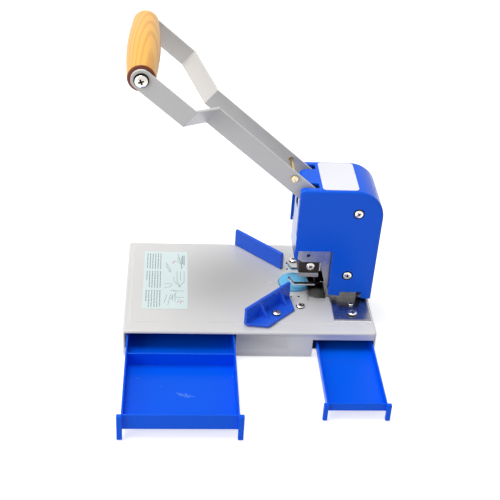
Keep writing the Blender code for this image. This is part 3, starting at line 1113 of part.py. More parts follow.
def spring_points():
    """The wire's centre line on the lever (along, across, above), from tail to tail."""
    leg_above = CROSS_PIN_ABOVE - CROSS_PIN_RADIUS - WIRE_RADIUS - LEG_GAP
    lean = math.atan2(leg_above + COIL_RADIUS, CROSS_PIN_ALONG)
    coil = []
    for index in range(COIL_TURNS * COIL_POINTS + 1):
        turn = -math.pi / 2 + lean - math.tau * index / COIL_POINTS
        coil.append(Vector((COIL_RADIUS * math.cos(turn), LEG_HALF + COIL_PITCH * index / COIL_POINTS,
                            COIL_RADIUS * math.sin(turn))))
    leg_way = Vector((math.cos(lean), 0, math.sin(lean)))
    tail = coil[-1] - leg_way * TAIL_LENGTH
    leg_reach = CROSS_PIN_ALONG + LEG_PAST_PIN - LEG_HALF
    bend = []
    for index in range(BEND_STEPS + 1):
        angle = math.pi / 2 - math.pi * index / BEND_STEPS
        at = coil[0] + leg_way * (leg_reach + LEG_HALF * math.cos(angle))
        bend.append(Vector((at.x, LEG_HALF * math.sin(angle), at.z)))
    first = [tail] + coil[::-1]
    second = [Vector((point.x, -point.y, point.z)) for point in first[::-1]]
    return first + bend + second


wire = spring_points()
curve = bpy.data.curves.new("return_spring", "CURVE")
curve.dimensions = "3D"
curve.bevel_depth = WIRE_RADIUS
curve.bevel_resolution = 1
curve.use_fill_caps = True
spline = curve.splines.new("POLY")
spline.points.add(len(wire) - 1)
for point, place in zip(spline.points, wire):
    point.co = (*place, 1)
finish(place_object("return_spring", curve, LEVER), SPRING_STEEL, 0.3, 1.0)

nearest = min((a - b).length for start, a in enumerate(wire) for b in wire[start + COIL_POINTS - 1:])
print("return spring: least gap between turns", round((nearest - 2 * WIRE_RADIUS) * 1000, 2), "mm")
print("stroke", round(STROKE * 1000, 3), "mm, ratio", round(STROKE / SWING, 6), "m/rad")
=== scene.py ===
import math
import random

import bmesh
import bpy
from mathutils import Matrix, Vector


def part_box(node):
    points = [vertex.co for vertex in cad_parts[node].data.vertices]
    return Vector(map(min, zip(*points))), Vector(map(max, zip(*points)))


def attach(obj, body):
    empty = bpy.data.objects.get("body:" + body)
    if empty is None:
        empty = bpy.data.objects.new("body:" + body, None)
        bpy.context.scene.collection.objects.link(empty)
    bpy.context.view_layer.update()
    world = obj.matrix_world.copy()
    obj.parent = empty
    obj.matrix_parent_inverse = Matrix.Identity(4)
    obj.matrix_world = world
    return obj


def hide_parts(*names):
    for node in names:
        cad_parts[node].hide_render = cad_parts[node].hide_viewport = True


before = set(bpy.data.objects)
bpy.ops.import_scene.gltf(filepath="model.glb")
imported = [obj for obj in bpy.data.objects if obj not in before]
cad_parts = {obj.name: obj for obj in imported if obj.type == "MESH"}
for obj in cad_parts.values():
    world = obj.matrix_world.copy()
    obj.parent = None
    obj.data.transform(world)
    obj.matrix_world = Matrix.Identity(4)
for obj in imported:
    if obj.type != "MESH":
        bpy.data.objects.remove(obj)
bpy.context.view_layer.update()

# Base housing: a casting in light grey semi-gloss paint. Its deck stands up in a low panel, the drawer bays
# are open to the front, and the table has the waste slot, four small bolt holes and a mark of the mould.
DOUBLES = 0.000002
FLAT_ANGLE = math.radians(1)
EASED_ANGLE = math.radians(38)
SMOOTH_ANGLE = math.radians(34)
BASE_EDGE = 0.0003
HOLE_RADIUS = 0.00125
HOLE_DEPTH = 0.0040
BASE_WALL = 0.0025
HOLE_PLACES = ((0.1764, 0.0264), (0.1845, 0.0255))
MARK_PLACE = 0.1530
MARK_SIZE = (0.0040, 0.0016, 0.0005)
MERIDIANS = 24
BASE_GREY = (226, 225, 224)
# The deck's painted shade: a darker grey patch, given by its middle, its size, its turn and its share.
PAINTED_SHADE_GREY = (150, 150, 148)
PAINTED_SHADE_PLACE = (0.1150, 0.1000)
PAINTED_SHADE_SIZE = (0.1150, 0.0850, 0.0040)
PAINTED_SHADE_TURN = 0.5
PAINTED_SHADE_SHARE = 0.55
INSIDE_GAP = 0.0004
SLOT_PLACE = 0.1956
SLOT_REACH = 0.0055
SLOT_HALF = 0.0235
SLOT_DEPTH = 0.0120
STEP_PLACE = 0.1934
STEP_REACH = 0.0030
STEP_HALF = 0.0334
STEP_DEPTH = 0.0015
DECK_HEIGHT = 0.0036
FOOT_LIP = 0.0010
FACES_UP = 0.66


def linear(red, green, blue):
    """A colour as the eye reads it, 0 to 255, in the light's own scale."""
    return tuple((level / 255 / 12.92) if level < 11 else ((level / 255 + 0.055) / 1.055) ** 2.4
                 for level in (red, green, blue))


def group_with(name, inputs, outputs):
    """A shader group with its sockets, each a label and a kind, and its two end nodes."""
    group = bpy.data.node_groups.new(name, "ShaderNodeTree")
    for way, sockets in (("INPUT", inputs), ("OUTPUT", outputs)):
        for label, kind in sockets:
            group.interface.new_socket(name=label, in_out=way, socket_type=f"NodeSocket{kind}")
    enter = group.nodes.new("NodeGroupInput")
    leave = group.nodes.new("NodeGroupOutput")
    return group, enter, leave


def noise_in(group, enter, detail):
    """Noise at the place and scale that the group is given."""
    noise = group.nodes.new("ShaderNodeTexNoise")
    noise.inputs["Detail"].default_value = detail
    group.links.new(enter.outputs["Vector"], noise.inputs["Vector"])
    group.links.new(enter.outputs["Scale"], noise.inputs["Scale"])
    return noise.outputs["Fac"]


def spread_in(group, enter, detail):
    """A node that adds the noise, taken about zero and times the amount, to its third input."""
    centred = group.nodes.new("ShaderNodeMath")
    centred.operation = "SUBTRACT"
    centred.inputs[1].default_value = 0.5
    group.links.new(noise_in(group, enter, detail), centred.inputs[0])
    spread = group.nodes.new("ShaderNodeMath")
    spread.operation = "MULTIPLY_ADD"
    group.links.new(centred.outputs[0], spread.inputs[0])
    group.links.new(enter.outputs["Amount"], spread.inputs[1])
    return spread


def mottle_group():
    """Colour that is a little lighter and darker from place to place."""
    group, enter, leave = group_with("mottle", (("Vector", "Vector"), ("Colour", "Color"), ("Scale", "Float"),
                                                ("Amount", "Float")), (("Colour", "Color"),))
    spread = spread_in(group, enter, detail=3)
    spread.inputs[2].default_value = 1
    scaled = group.nodes.new("ShaderNodeVectorMath")
    scaled.operation = "SCALE"
    group.links.new(enter.outputs["Colour"], scaled.inputs[0])
    group.links.new(spread.outputs[0], scaled.inputs["Scale"])
    group.links.new(scaled.outputs[0], leave.inputs["Colour"])
    return group


def gloss_group():
    """Roughness that varies as on a handled surface."""
    group, enter, leave = group_with("handled_gloss", (("Vector", "Vector"), ("Roughness", "Float"),
                                                       ("Scale", "Float"), ("Amount", "Float")),
                                     (("Roughness", "Float"),))
    spread = spread_in(group, enter, detail=5)
    spread.use_clamp = True
    group.links.new(enter.outputs["Roughness"], spread.inputs[2])
    group.links.new(spread.outputs[0], leave.inputs["Roughness"])
    return group


def skin_group():
    """The fine unevenness of paint, moulded plastic or plating, as a normal."""
    group, enter, leave = group_with("surface_skin", (("Vector", "Vector"), ("Scale", "Float"),
                                                      ("Depth", "Float")), (("Normal", "Vector"),))
    bump = group.nodes.new("ShaderNodeBump")
    bump.inputs["Strength"].default_value = 1
    group.links.new(enter.outputs["Depth"], bump.inputs["Distance"])
    group.links.new(noise_in(group, enter, detail=2), bump.inputs["Height"])
    group.links.new(bump.outputs["Normal"], leave.inputs["Normal"])
    return group


MOTTLE = mottle_group()
GLOSS = gloss_group()
SKIN = skin_group()


def placed_group(tree, group, vector, **values):
    """The group placed in a material, with its own values."""
    node = tree.nodes.new("ShaderNodeGroup")
    node.node_tree = group
    tree.links.new(vector, node.inputs["Vector"])
    for label, value in values.items():
        node.inputs[label].default_value = value
    return node


def mixed(tree, share, under, over):
    """One colour over another by a share; the upper one is given as the eye reads it."""
    mix = tree.nodes.new("ShaderNodeMix")
    mix.data_type = "RGBA"
    mix.inputs["B"].default_value = (*linear(*over), 1)
    tree.links.new(share, mix.inputs["Factor"])
    tree.links.new(under, mix.inputs["A"])
    return mix.outputs["Result"]


def marked(tree, label, under, over):
    """A colour over the faces that carry a mark, such as the painted highlight on the rounded edges."""
    mark = tree.nodes.new("ShaderNodeAttribute")
    mark.attribute_name = label
    return mixed(tree, mark.outputs["Fac"], under, over)


def surface(name, colour, roughness, metallic=0.0, mottle=(30, 0.04), gloss=(25, 0.08), skin=(800, 0.00001),
            gleam=0.5, marks=()):
    """A finish: its colour and gloss vary a little, its skin isn't quite even, and marked faces differ."""
    made = bpy.data.materials.new(name)
    made.use_nodes = True
    tree = made.node_tree
    shader = tree.nodes["Principled BSDF"]
    shader.inputs["Metallic"].default_value = metallic
    shader.inputs["Specular IOR Level"].default_value = gleam
    place = tree.nodes.new("ShaderNodeTexCoord").outputs["Object"]
    tint = placed_group(tree, MOTTLE, place, Colour=(*linear(*colour), 1), Scale=mottle[0], Amount=mottle[1])
    shown = tint.outputs["Colour"]
    for label, over in marks:
        shown = marked(tree, label, shown, over)
    tree.links.new(shown, shader.inputs["Base Color"])
    shine = placed_group(tree, GLOSS, place, Roughness=roughness, Scale=gloss[0], Amount=gloss[1])
    tree.links.new(shine.outputs["Roughness"], shader.inputs["Roughness"])
    grain = placed_group(tree, SKIN, place, Scale=skin[0], Depth=skin[1])
    tree.links.new(grain.outputs["Normal"], shader.inputs["Normal"])
    return made


def node_copy(node):
    """A copy of a CAD node to work on."""
    shape = bmesh.new()
    shape.from_mesh(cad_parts[node].data)
    bmesh.ops.remove_doubles(shape, verts=shape.verts, dist=DOUBLES)
    return shape


def flat_faces(shape):
    """The shape with the triangles of each flat face merged into one."""
    bmesh.ops.dissolve_limit(shape, angle_limit=FLAT_ANGLE, verts=shape.verts, edges=shape.edges)
    return shape


def mark_faces(shape, label, chosen):
    """Set a mark on the faces that pass the test, for the finish to read."""
    layer = shape.faces.layers.float.get(label) or shape.faces.layers.float.new(label)
    for face in shape.faces:
        if chosen(face):
            face[layer] = 1
    return shape


def ease_edges(shape, width, segments=2, sharper=EASED_ANGLE, kept=None):
    """Round each edge sharper than an angle, save those kept sharp, and mark the round for a painted
    highlight.
    """
    edges = [edge for edge in shape.edges if edge.is_manifold and edge.calc_face_angle() > sharper
             and not (kept and all(kept(vert.co) for vert in edge.verts))]
    made = bmesh.ops.bevel(shape, geom=edges, offset=width, segments=segments, profile=0.5, affect="EDGES",
                           material=-1)
    rounds = set(made["faces"])
    mark_faces(shape, "painted_highlight", lambda face: face in rounds)
    bmesh.ops.dissolve_degenerate(shape, dist=DOUBLES, edges=shape.edges)
    return shape


def object_of(name, shape):
    """An object with the shape as its mesh."""
    mesh = bpy.data.meshes.new(name)
    shape.to_mesh(mesh)
    shape.free()
    made = bpy.data.objects.new(name, mesh)
    bpy.context.scene.collection.objects.link(made)
    return made


def put_in_order(members, place_of):
    """A cut gives its points and faces in any order, so they are put in the order of their places."""
    by_place = sorted(members, key=lambda member: tuple(round(value, 6) for value in place_of(member)))
    ranks = {member: rank for rank, member in enumerate(by_place)}
    members.sort(key=lambda member: ranks[member])


def carved(shape, tools):
    """The shape with the room of each tool cut out of it."""
    work = object_of("work", shape)
    cutters = [object_of("tool", tool) for tool in tools]
    for cutter in cutters:
        step = work.modifiers.new("cut", "BOOLEAN")
        step.operation = "DIFFERENCE"
        step.solver = "EXACT"
        step.object = cutter
    result = bmesh.new()
    result.from_object(work, bpy.context.evaluated_depsgraph_get())
    for spent in [work, *cutters]:
        bpy.data.objects.remove(spent, do_unlink=True)
    bmesh.ops.dissolve_degenerate(result, dist=DOUBLES, edges=result.edges)
    put_in_order(result.verts, lambda vert: vert.co)
    put_in_order(result.edges, lambda edge: edge.verts[0].co + edge.verts[1].co)
    put_in_order(result.faces, lambda face: face.calc_center_median())
    return result


def piece(name, shape, body, finish, nodes=(), smooth=SMOOTH_ANGLE):
    """Make the shape a piece of the object, which rides on a body and may stand for CAD nodes."""
    made = object_of(name, shape)
    made.data.shade_smooth()
    made.data.set_sharp_from_angle(angle=smooth)
    made.data.materials.append(finish)
    even = made.modifiers.new("even_shading", "WEIGHTED_NORMAL")
    even.keep_sharp = True
    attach(made, body)
    if nodes:
        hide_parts(*nodes)
    return made


def eased_piece(node, body, finish, width, segments=2):
    """A CAD node's own form with its edges rounded, in its finish."""
    shape = ease_edges(flat_faces(node_copy(node)), width, segments)
    return piece(f"{node}_shown", shape, body, finish, (node,))


base_low, base_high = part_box("base_housing")
table_top = base_high.z
centre_y = (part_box("cutting_disc")[0].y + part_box("cutting_disc")[1].y) / 2


def layout_x(place):
    """A place along the base, from its left end, in the frame."""
    return base_low.x + place


# Rounded edges of the paint carry a white painted highlight, and the walls inside the casting a near black
# painted shade.
base_paint = surface("light_grey_paint", BASE_GREY, 0.34, mottle=(14, 0.03), gloss=(18, 0.06),
                     skin=(1400, 0.000012), marks=(("painted_highlight", (246, 246, 246)), ("painted_shade", (26, 27, 25))))
tree = base_paint.node_tree
shader = tree.nodes["Principled BSDF"]
# A darker patch round the middle of the deck is painted shade.
shade_patch_place = tree.nodes.new("ShaderNodeMapping")
shade_patch_place.vector_type = "TEXTURE"
shade_patch_place.inputs["Location"].default_value = (layout_x(PAINTED_SHADE_PLACE[0]), base_low.y + PAINTED_SHADE_PLACE[1],
                                                 table_top)
shade_patch_place.inputs["Rotation"].default_value = (0, 0, PAINTED_SHADE_TURN)
shade_patch_place.inputs["Scale"].default_value = PAINTED_SHADE_SIZE
tree.links.new(tree.nodes["Texture Coordinate"].outputs["Object"], shade_patch_place.inputs["Vector"])
shade_patch = tree.nodes.new("ShaderNodeTexGradient")
shade_patch.gradient_type = "SPHERICAL"
tree.links.new(shade_patch_place.outputs[0], shade_patch.inputs["Vector"])
shade_patch_share = tree.nodes.new("ShaderNodeMapRange")
shade_patch_share.interpolation_type = "SMOOTHSTEP"
shade_patch_share.inputs["To Max"].default_value = PAINTED_SHADE_SHARE
tree.links.new(shade_patch.outputs["Fac"], shade_patch_share.inputs["Value"])
painted = shader.inputs["Base Color"].links[0].from_socket
tree.links.new(mixed(tree, shade_patch_share.outputs[0], painted, PAINTED_SHADE_GREY), shader.inputs["Base Color"])
holes = []
for along, out in HOLE_PLACES:
    for side in (-1, 1):
        hole = bmesh.new()
        place = Matrix.Translation((layout_x(along), centre_y + side * out, table_top))
        bmesh.ops.create_cone(hole, cap_ends=True, segments=MERIDIANS, radius1=HOLE_RADIUS,
                              radius2=HOLE_RADIUS, depth=2 * HOLE_DEPTH, matrix=place)
        holes.append(hole)
mark = bmesh.new()
bmesh.ops.create_uvsphere(mark, u_segments=MERIDIANS, v_segments=MERIDIANS // 2, radius=1,
                          matrix=Matrix.Translation((layout_x(MARK_PLACE), centre_y, table_top))
                          @ Matrix.Diagonal((*MARK_SIZE, 1)))
slot_rooms = []
for place, reach, half, depth in ((SLOT_PLACE, SLOT_REACH, SLOT_HALF, SLOT_DEPTH),
                                  (STEP_PLACE, STEP_REACH, STEP_HALF, STEP_DEPTH)):
    slot_low = Vector((layout_x(place), centre_y - half, table_top - depth))
    slot_high = Vector((layout_x(place) + reach, centre_y + half, table_top + HOLE_DEPTH))
    slot_rooms.append(bmesh.new())
    bmesh.ops.create_cube(slot_rooms[-1], size=1, matrix=Matrix.Translation((slot_low + slot_high) / 2)
                          @ Matrix.Diagonal((*(slot_high - slot_low), 1)))


def stays_sharp(place):
    """The deck has its own chamfers, and the rim under the base is too narrow for the round."""
    return place.z > base_high.z - DECK_HEIGHT or place.z < base_low.z + DOUBLES


base_shape = ease_edges(flat_faces(node_copy("base_housing")), BASE_EDGE, kept=stays_sharp)
base_shape = carved(base_shape, holes + [mark] + slot_rooms)


def gets_painted_shade(face):
    """The walls inside the casting, its slot and its holes get a near black painted shade."""
    place = face.calc_center_median()
    within = (base_low.x + BASE_WALL < place.x < base_high.x - BASE_WALL
              and base_low.y + BASE_WALL < place.y < base_high.y - BASE_WALL)
    return within and place.z < table_top - STEP_DEPTH - INSIDE_GAP and face.normal.z < FACES_UP


# Painted shade: the walls inside the casting, the slot and the holes are near black.
mark_faces(base_shape, "painted_shade", gets_painted_shade)
# The floor of the lip round each foot recess carries a painted highlight along its rim.
mark_faces(base_shape, "painted_highlight", lambda face: abs(face.calc_center_median().z - table_top + FOOT_LIP) < DOUBLES
           and face.normal.z > FACES_UP)
piece("base_casting", base_shape, "stand", base_paint, ("base_housing",))

# Bottom plate: a zinc plated sheet under the base, held by four plated screws. Four moulded feet of black
# rubber carry it.
SHEET_EDGE = 0.0002
FOOT_EDGE = 0.0003
sheet_zinc = surface("zinc_sheet", (200, 200, 200), 0.42, 0.9, skin=(500, 0.00001))
# The cross recess and the washer round a head carry a dark painted shade.
plated_screw = surface("plated_screw", (232, 228, 220), 0.18, 1.0, mottle=(420, 0.25), gloss=(200, 0.1),
                       marks=(("head_painted_shade", (34, 30, 24)),))
black_rubber = surface("black_rubber", (34, 34, 35), 0.75, mottle=(60, 0.1), skin=(2200, 0.00003))
eased_piece("bottom_plate", "stand", sheet_zinc, SHEET_EDGE, segments=1)
for number in range(1, 5):
    eased_piece(f"bottom_plate_screw_{number}", "stand", plated_screw, SHEET_EDGE)
    eased_piece(f"rubber_foot_{number}", "stand", black_rubber, FOOT_EDGE)

# Drawers: two open trays moulded in glossy blue plastic, pulled out by their front posts. The floor of the
# large one is scuffed. A scuff is given by its ends, each a place along the base and one out from its front.
DRAWER_EDGE = 0.0005
DRAWER_FLOOR = 0.0113
SCUFF_THICKNESS = 0.00004
SCUFF_WIDTH = 0.00045
# The drawers' rounded edges carry a lighter painted highlight.
drawer_blue = surface("drawer_plastic", (0, 94, 240), 0.3, mottle=(22, 0.1), gloss=(30, 0.12),
                      skin=(900, 0.000012), gleam=0.12, marks=(("painted_highlight", (64, 146, 255)),))
eased_piece("large_drawer", "large_drawer_tray", drawer_blue, DRAWER_EDGE)
eased_piece("small_drawer", "small_drawer_tray", drawer_blue, DRAWER_EDGE)
SCUFFS = (((0.0547, 0.0692), (0.0605, 0.0700)), ((0.0580, 0.0715), (0.0652, 0.0706)),
          ((0.0590, 0.0735), (0.0690, 0.0722)), ((0.0622, 0.0748), (0.0729, 0.0742)),
          ((0.0566, 0.0708), (0.0600, 0.0738)), ((0.0640, 0.0700), (0.0668, 0.0763)),
          ((0.0164, 0.0475), (0.0176, 0.0478)), ((0.0401, 0.0591), (0.0410, 0.0594)),
          ((0.1099, 0.0435), (0.1110, 0.0438)))
scuff_finish = surface("scuffed_plastic", (108, 160, 244), 0.6, mottle=(600, 0.5))


def thin_bar(shape, first, last, width, thickness):
    """A flat bar from one point to another, for a scuff or a stroke of ink."""
    way = last - first
    bmesh.ops.create_cube(shape, size=1, matrix=Matrix.Translation((first + last) / 2)
                          @ Matrix.Rotation(math.atan2(way.y, way.x), 4, "Z")
                          @ Matrix.Diagonal((way.length, width, thickness, 1)))


scuff_shape = bmesh.new()
for start, end in SCUFFS:
    first, last = (Vector((layout_x(along), base_low.y - out, DRAWER_FLOOR)) for along, out in (start, end))
    thin_bar(scuff_shape, first, last, SCUFF_WIDTH, SCUFF_THICKNESS)
piece("drawer_scuffs", scuff_shape, "large_drawer_tray", scuff_finish)

# Cutting disc: a turned disc of light blue plastic, scored by the blade. It lies in a round seat of the
# table, where it can be turned to a fresh spot.
disc_low, disc_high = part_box("cutting_disc")
disc_finish = surface("disc_plastic", (112, 206, 255), 0.34, mottle=(120, 0.12), gloss=(90, 0.12),
                      skin=(700, 0.00003))
DISC_EDGE = 0.0006
DISC_LIP = 0.0022
FACING = {"Z": Matrix.Identity(4), "Y": Matrix.Rotation(-math.pi / 2, 4, "X"),
          "-Y": Matrix.Rotation(math.pi / 2, 4, "X")}
disc_radius = (disc_high.x - disc_low.x) / 2
disc_centre = Vector(((disc_low.x + disc_high.x) / 2, centre_y, 0))


def turned_shape(points, centre, axis="Z", steps=48):
    """A profile of radius and height, spun round an upright axis and then laid along its own axis."""
    shape = bmesh.new()
    line = [shape.verts.new((radius, 0, height)) for radius, height in points]
    edges = [shape.edges.new(pair) for pair in zip(line, line[1:])]
    bmesh.ops.spin(shape, geom=line + edges, cent=(0, 0, 0), axis=(0, 0, 1), angle=math.tau, steps=steps,
                   use_merge=True)
    bmesh.ops.remove_doubles(shape, verts=shape.verts, dist=DOUBLES)
    bmesh.ops.recalc_face_normals(shape, faces=shape.faces)
    bmesh.ops.transform(shape, verts=shape.verts, matrix=Matrix.Translation(centre) @ FACING[axis])
    return shape


def quarter(radius, height, size, steps=4):
    """The round edge of a profile, from the flat top over to the side."""
    points = []
    for step in range(steps + 1):
        angle = math.pi / 2 * (1 - step / steps)
        points.append((radius - size + size * math.cos(angle), height - size + size * math.sin(angle)))
    return points


disc_profile = [(0, disc_high.z), *quarter(disc_radius, disc_high.z, DISC_EDGE),
                (disc_radius, disc_low.z + DISC_LIP), (disc_radius - DISC_EDGE, disc_low.z), (0, disc_low.z)]
piece("disc_turned", turned_shape(disc_profile, disc_centre), "disc", disc_finish,
      ("cutting_disc",))

# Corner guides: two blue plastic mouldings that meet at a right angle beside the blade. One screw holds each
# of them to the table.
GUIDE_EDGE = 0.0006
# The guides' rounded edges carry a lighter painted highlight.
guide_blue = surface("guide_plastic", (36, 98, 230), 0.28, mottle=(40, 0.1), gloss=(40, 0.1),
                     skin=(800, 0.000015), gleam=0.3, marks=(("painted_highlight", (92, 150, 246)),))
for node in ("near_guide", "far_guide"):
    eased_piece(node, "stand", guide_blue, GUIDE_EDGE)

# Screws: bright plated steel with pan heads and cross recesses. They hold the guides, the table, the frame's
# feet, the cover, the tool and the grip, which has a washer under each head.
SCREW_HEAD_RADIUS = 0.00465
SCREW_HEAD_HEIGHT = 0.0026
COVER_HEAD_RADIUS = 0.0044
COVER_HEAD_HEIGHT = 0.0016
GRIP_HEAD_RADIUS = 0.0060
GRIP_HEAD_HEIGHT = 0.0034
WASHER_THICKNESS = 0.0008
WASHER_RADIUS = 0.0070
DOME_SHARE = 0.55
DOME_STEPS = 8
HEAD_EDGE = 0.00012
HEAD_ANGLE = math.radians(50)
RECESS_LENGTH = 0.0062
RECESS_WIDTH = 0.00175
RECESS_DEPTH = 0.0016
RECESS_TAPER = 0.45
RECESS_SKIN = 0.0001


def recess_tool(top, turn, length, width, depth):
    """One arm of the cross recess, narrower at its bottom."""
    shape = bmesh.new()
    bmesh.ops.create_cube(shape, size=1, matrix=Matrix.Diagonal((length, width, 2 * depth, 1)))
    for vert in shape.verts:
        if vert.co.z < 0:
            vert.co.x *= RECESS_TAPER
            vert.co.y *= RECESS_TAPER
    bmesh.ops.transform(shape, verts=shape.verts,
                        matrix=Matrix.Translation((0, 0, top)) @ Matrix.Rotation(turn, 4, "Z"))
    return shape


def pan_head(radius, height, washer=0.0, washer_radius=0.0):
    """A domed head with its cross recess on the plane Z 0, over a washer if any; recess and washer get
    painted shade.
    """
    rise = height * DOME_SHARE
    dome = [(radius * math.sin(math.pi / 2 * step / DOME_STEPS),
             washer + height - rise * (1 - math.cos(math.pi / 2 * step / DOME_STEPS)))
            for step in range(DOME_STEPS + 1)]
    flare = [(washer_radius, washer), (washer_radius, 0)] if washer else []
    lower = [(radius, washer)] + flare + [(0, 0)]
    head = turned_shape(dome + lower, (0, 0, 0), steps=40)
    top = washer + height
    reach = RECESS_LENGTH * radius / SCREW_HEAD_RADIUS
    width = RECESS_WIDTH * radius / SCREW_HEAD_RADIUS
    tools = [recess_tool(top, turn, reach, width, RECESS_DEPTH) for turn in (0, math.pi / 2)]
    head = carved(head, tools)

    # Painted shade: the faces inside the cross recess and those of the washer round the head.
    def in_head_painted_shade(face):
        place = face.calc_center_median()
        out = math.hypot(place.x, place.y)
        level = top - rise * (1 - math.sqrt(max(0, 1 - (out / radius) ** 2)))
        return out > radius or washer < place.z < level - RECESS_SKIN

    return mark_faces(head, "head_painted_shade", in_head_painted_shade)


def middle_of(node):
    """The middle of a node's box."""
    low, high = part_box(node)
    return (low + high) / 2


def screw_piece(node, look, turn, body, radius=SCREW_HEAD_RADIUS, height=SCREW_HEAD_HEIGHT, washer=0.0,
                washer_radius=0.0):
    """A head with its recess in place of a screw node, with its underside where the node's head has it."""
    low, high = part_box(node)
    middle = middle_of(node)
    head = pan_head(radius, height, washer, washer_radius)
    tall = height + washer if washer else SCREW_HEAD_HEIGHT
    seat = {"Z": Vector((middle.x, middle.y, high.z - tall)),
            "Y": Vector((middle.x, high.y - tall, middle.z)),
            "-Y": Vector((middle.x, low.y + tall, middle.z))}[look]
    bmesh.ops.transform(head, verts=head.verts, matrix=Matrix.Translation(seat) @ FACING[look]
                        @ Matrix.Rotation(math.radians(turn), 4, "Z"))
    ease_edges(head, HEAD_EDGE, segments=1, sharper=HEAD_ANGLE)
    piece(f"{node}_head", head, body, plated_screw, (node,), HEAD_ANGLE)


for node, turn in (("guide_screw_1", 20), ("guide_screw_2", 60), ("table_screw_1", 35), ("table_screw_2", 10),
                   ("foot_screw_1", 15), ("foot_screw_2", 50)):
    screw_piece(node, "Z", turn, "stand")
for node, look, turn in (("cover_screw_1", "-Y", 30), ("cover_screw_2", "-Y", 12), ("cover_screw_3", "Y", 25),
                         ("cover_screw_4", "Y", 70)):
    screw_piece(node, look, turn, "stand", COVER_HEAD_RADIUS, COVER_HEAD_HEIGHT)
screw_piece("tool_screw", "-Y", 40, "ram_unit")
for node, look, turn in (("grip_screw_1", "-Y", 20), ("grip_screw_2", "Y", 50)):
    screw_piece(node, look, turn, "lever", GRIP_HEAD_RADIUS, GRIP_HEAD_HEIGHT, WASHER_THICKNESS,
                WASHER_RADIUS)

# Frame of the head: nickel plated steel plates bent outwards into feet, their pins, the back plate between
# them, and the lever's pivot pin.
PLATE_EDGE = 0.0004
# Rounded edges of the plating carry a white painted highlight.
plated_plate = surface("nickel_plate", (166, 165, 166), 0.28, 1.0, mottle=(38, 0.55), gloss=(80, 0.12),
                       skin=(160, 0.00003), marks=(("painted_highlight", (250, 250, 250)),))
for node in ("frame_side_near", "frame_side_far", "frame_back_plate"):
    eased_piece(node, "stand", plated_plate, PLATE_EDGE)
for node in ("pivot_pin", "foot_pin_1", "foot_pin_2", "fork_screw"):
    eased_piece(node, "stand", plated_screw, PLATE_EDGE)

# Stripper fork: two sheet arms over the disc with upturned tips that let the paper in. Its plating is dark,
# and its side faces and rounded edges carry a white painted highlight.
FORK_EDGE = 0.0002
FACES_ASIDE = 0.9
fork_shape = ease_edges(flat_faces(node_copy("stripper_fork")), FORK_EDGE)
# Painted highlight: the side faces of the arms are near white.
mark_faces(fork_shape, "painted_highlight", lambda face: abs(face.normal.y) > FACES_ASIDE)
fork_plate = surface("fork_plate", (60, 60, 64), 0.16, 1.0, mottle=(60, 0.3), gloss=(80, 0.1),
                     skin=(160, 0.00002), marks=(("painted_highlight", (250, 250, 250)),))
piece("stripper_fork_shown", fork_shape, "stand", fork_plate, ("stripper_fork",))

# Ram with its tool: a plated block that slides between the side plates, a blackened holder, a plated flange
# and the ground blade.
BLADE_EDGE = 0.0001
# The holder's rounded edges carry a lighter painted highlight.
dark_steel = surface("blackened_steel", (64, 58, 52), 0.3, 1.0, mottle=(90, 0.7), gloss=(60, 0.2),
                     skin=(500, 0.00002), marks=(("painted_highlight", (150, 144, 134)),))
# The ram's plating is tinted blue, a painted reflection of the blue cover round it; its rounded edges carry a
# painted highlight.
ram_painted_reflection_plate = surface("ram_painted_reflection_plate", (60, 92, 152), 0.2, 1.0, mottle=(50, 0.4), gloss=(80, 0.1),
                    skin=(160, 0.00002), marks=(("painted_highlight", (250, 250, 250)),))
ground_steel = surface("ground_steel", (205, 206, 210), 0.22, 1.0, skin=(600, 0.00001))
eased_piece("ram", "ram_unit", ram_painted_reflection_plate, PLATE_EDGE)
eased_piece("tool_holder", "ram_unit", dark_steel, PLATE_EDGE)
eased_piece("tool_flange", "ram_unit", plated_plate, PLATE_EDGE)
eased_piece("blade", "ram_unit", ground_steel, BLADE_EDGE, segments=1)

# Head cover: one glossy blue moulding with round edges. It is screwed to the frame through four sunk seats,
# two on each side, which carry a dark painted shade.
SEAT_REACH = 0.00585
SEAT_DEPTH = 0.0080
SEAT_SKIN = 0.0003
COVER_EDGE = 0.0004
# The cover's rounded edges carry a lighter painted highlight, and its screw seats a dark painted shade.
cover_blue = surface("cover_plastic", (16, 98, 238), 0.24, mottle=(18, 0.06), gloss=(24, 0.08),
                     skin=(700, 0.00001), gleam=0.14, marks=(("painted_highlight", (70, 144, 255)), ("seat", (4, 8, 26))))
cover_shape = ease_edges(flat_faces(node_copy("head_cover")), COVER_EDGE)
cover_low, cover_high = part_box("head_cover")
seat_axes = [middle_of(f"cover_screw_{number}") for number in range(1, 5)]


def in_painted_seat_shade(face):
    """The sunk seat round each screw, apart from the cover's outer faces, for a dark painted shade."""
    place = face.calc_center_median()
    if not cover_low.y + SEAT_SKIN < place.y < cover_high.y - SEAT_SKIN:
        return False
    return any(math.hypot(place.x - axis.x, place.z - axis.z) < SEAT_REACH
               and abs(place.y - axis.y) < SEAT_DEPTH for axis in seat_axes)


mark_faces(cover_shape, "seat", in_painted_seat_shade)
piece("head_cover_shown", cover_shape, "stand", cover_blue, ("head_cover",))

# Label and sticker: paper under clear film, glued to the cover and to the table. The label is plain, and the
# sticker has bars and lines, placed by shares of its width and depth.
LABEL_PAPER = (236, 236, 244)
STICKER_PAPER = (226, 241, 241)
label_paper = surface("label_paper", LABEL_PAPER, 0.3, mottle=(200, 0.02), skin=(1500, 0.000004))
sticker_paper = surface("sticker_paper", STICKER_PAPER, 0.3, mottle=(200, 0.02), skin=(1500, 0.000004))
for node, paper in (("cover_label", label_paper), ("table_sticker", sticker_paper)):
    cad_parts[node].data.materials.clear()
    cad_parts[node].data.materials.append(paper)

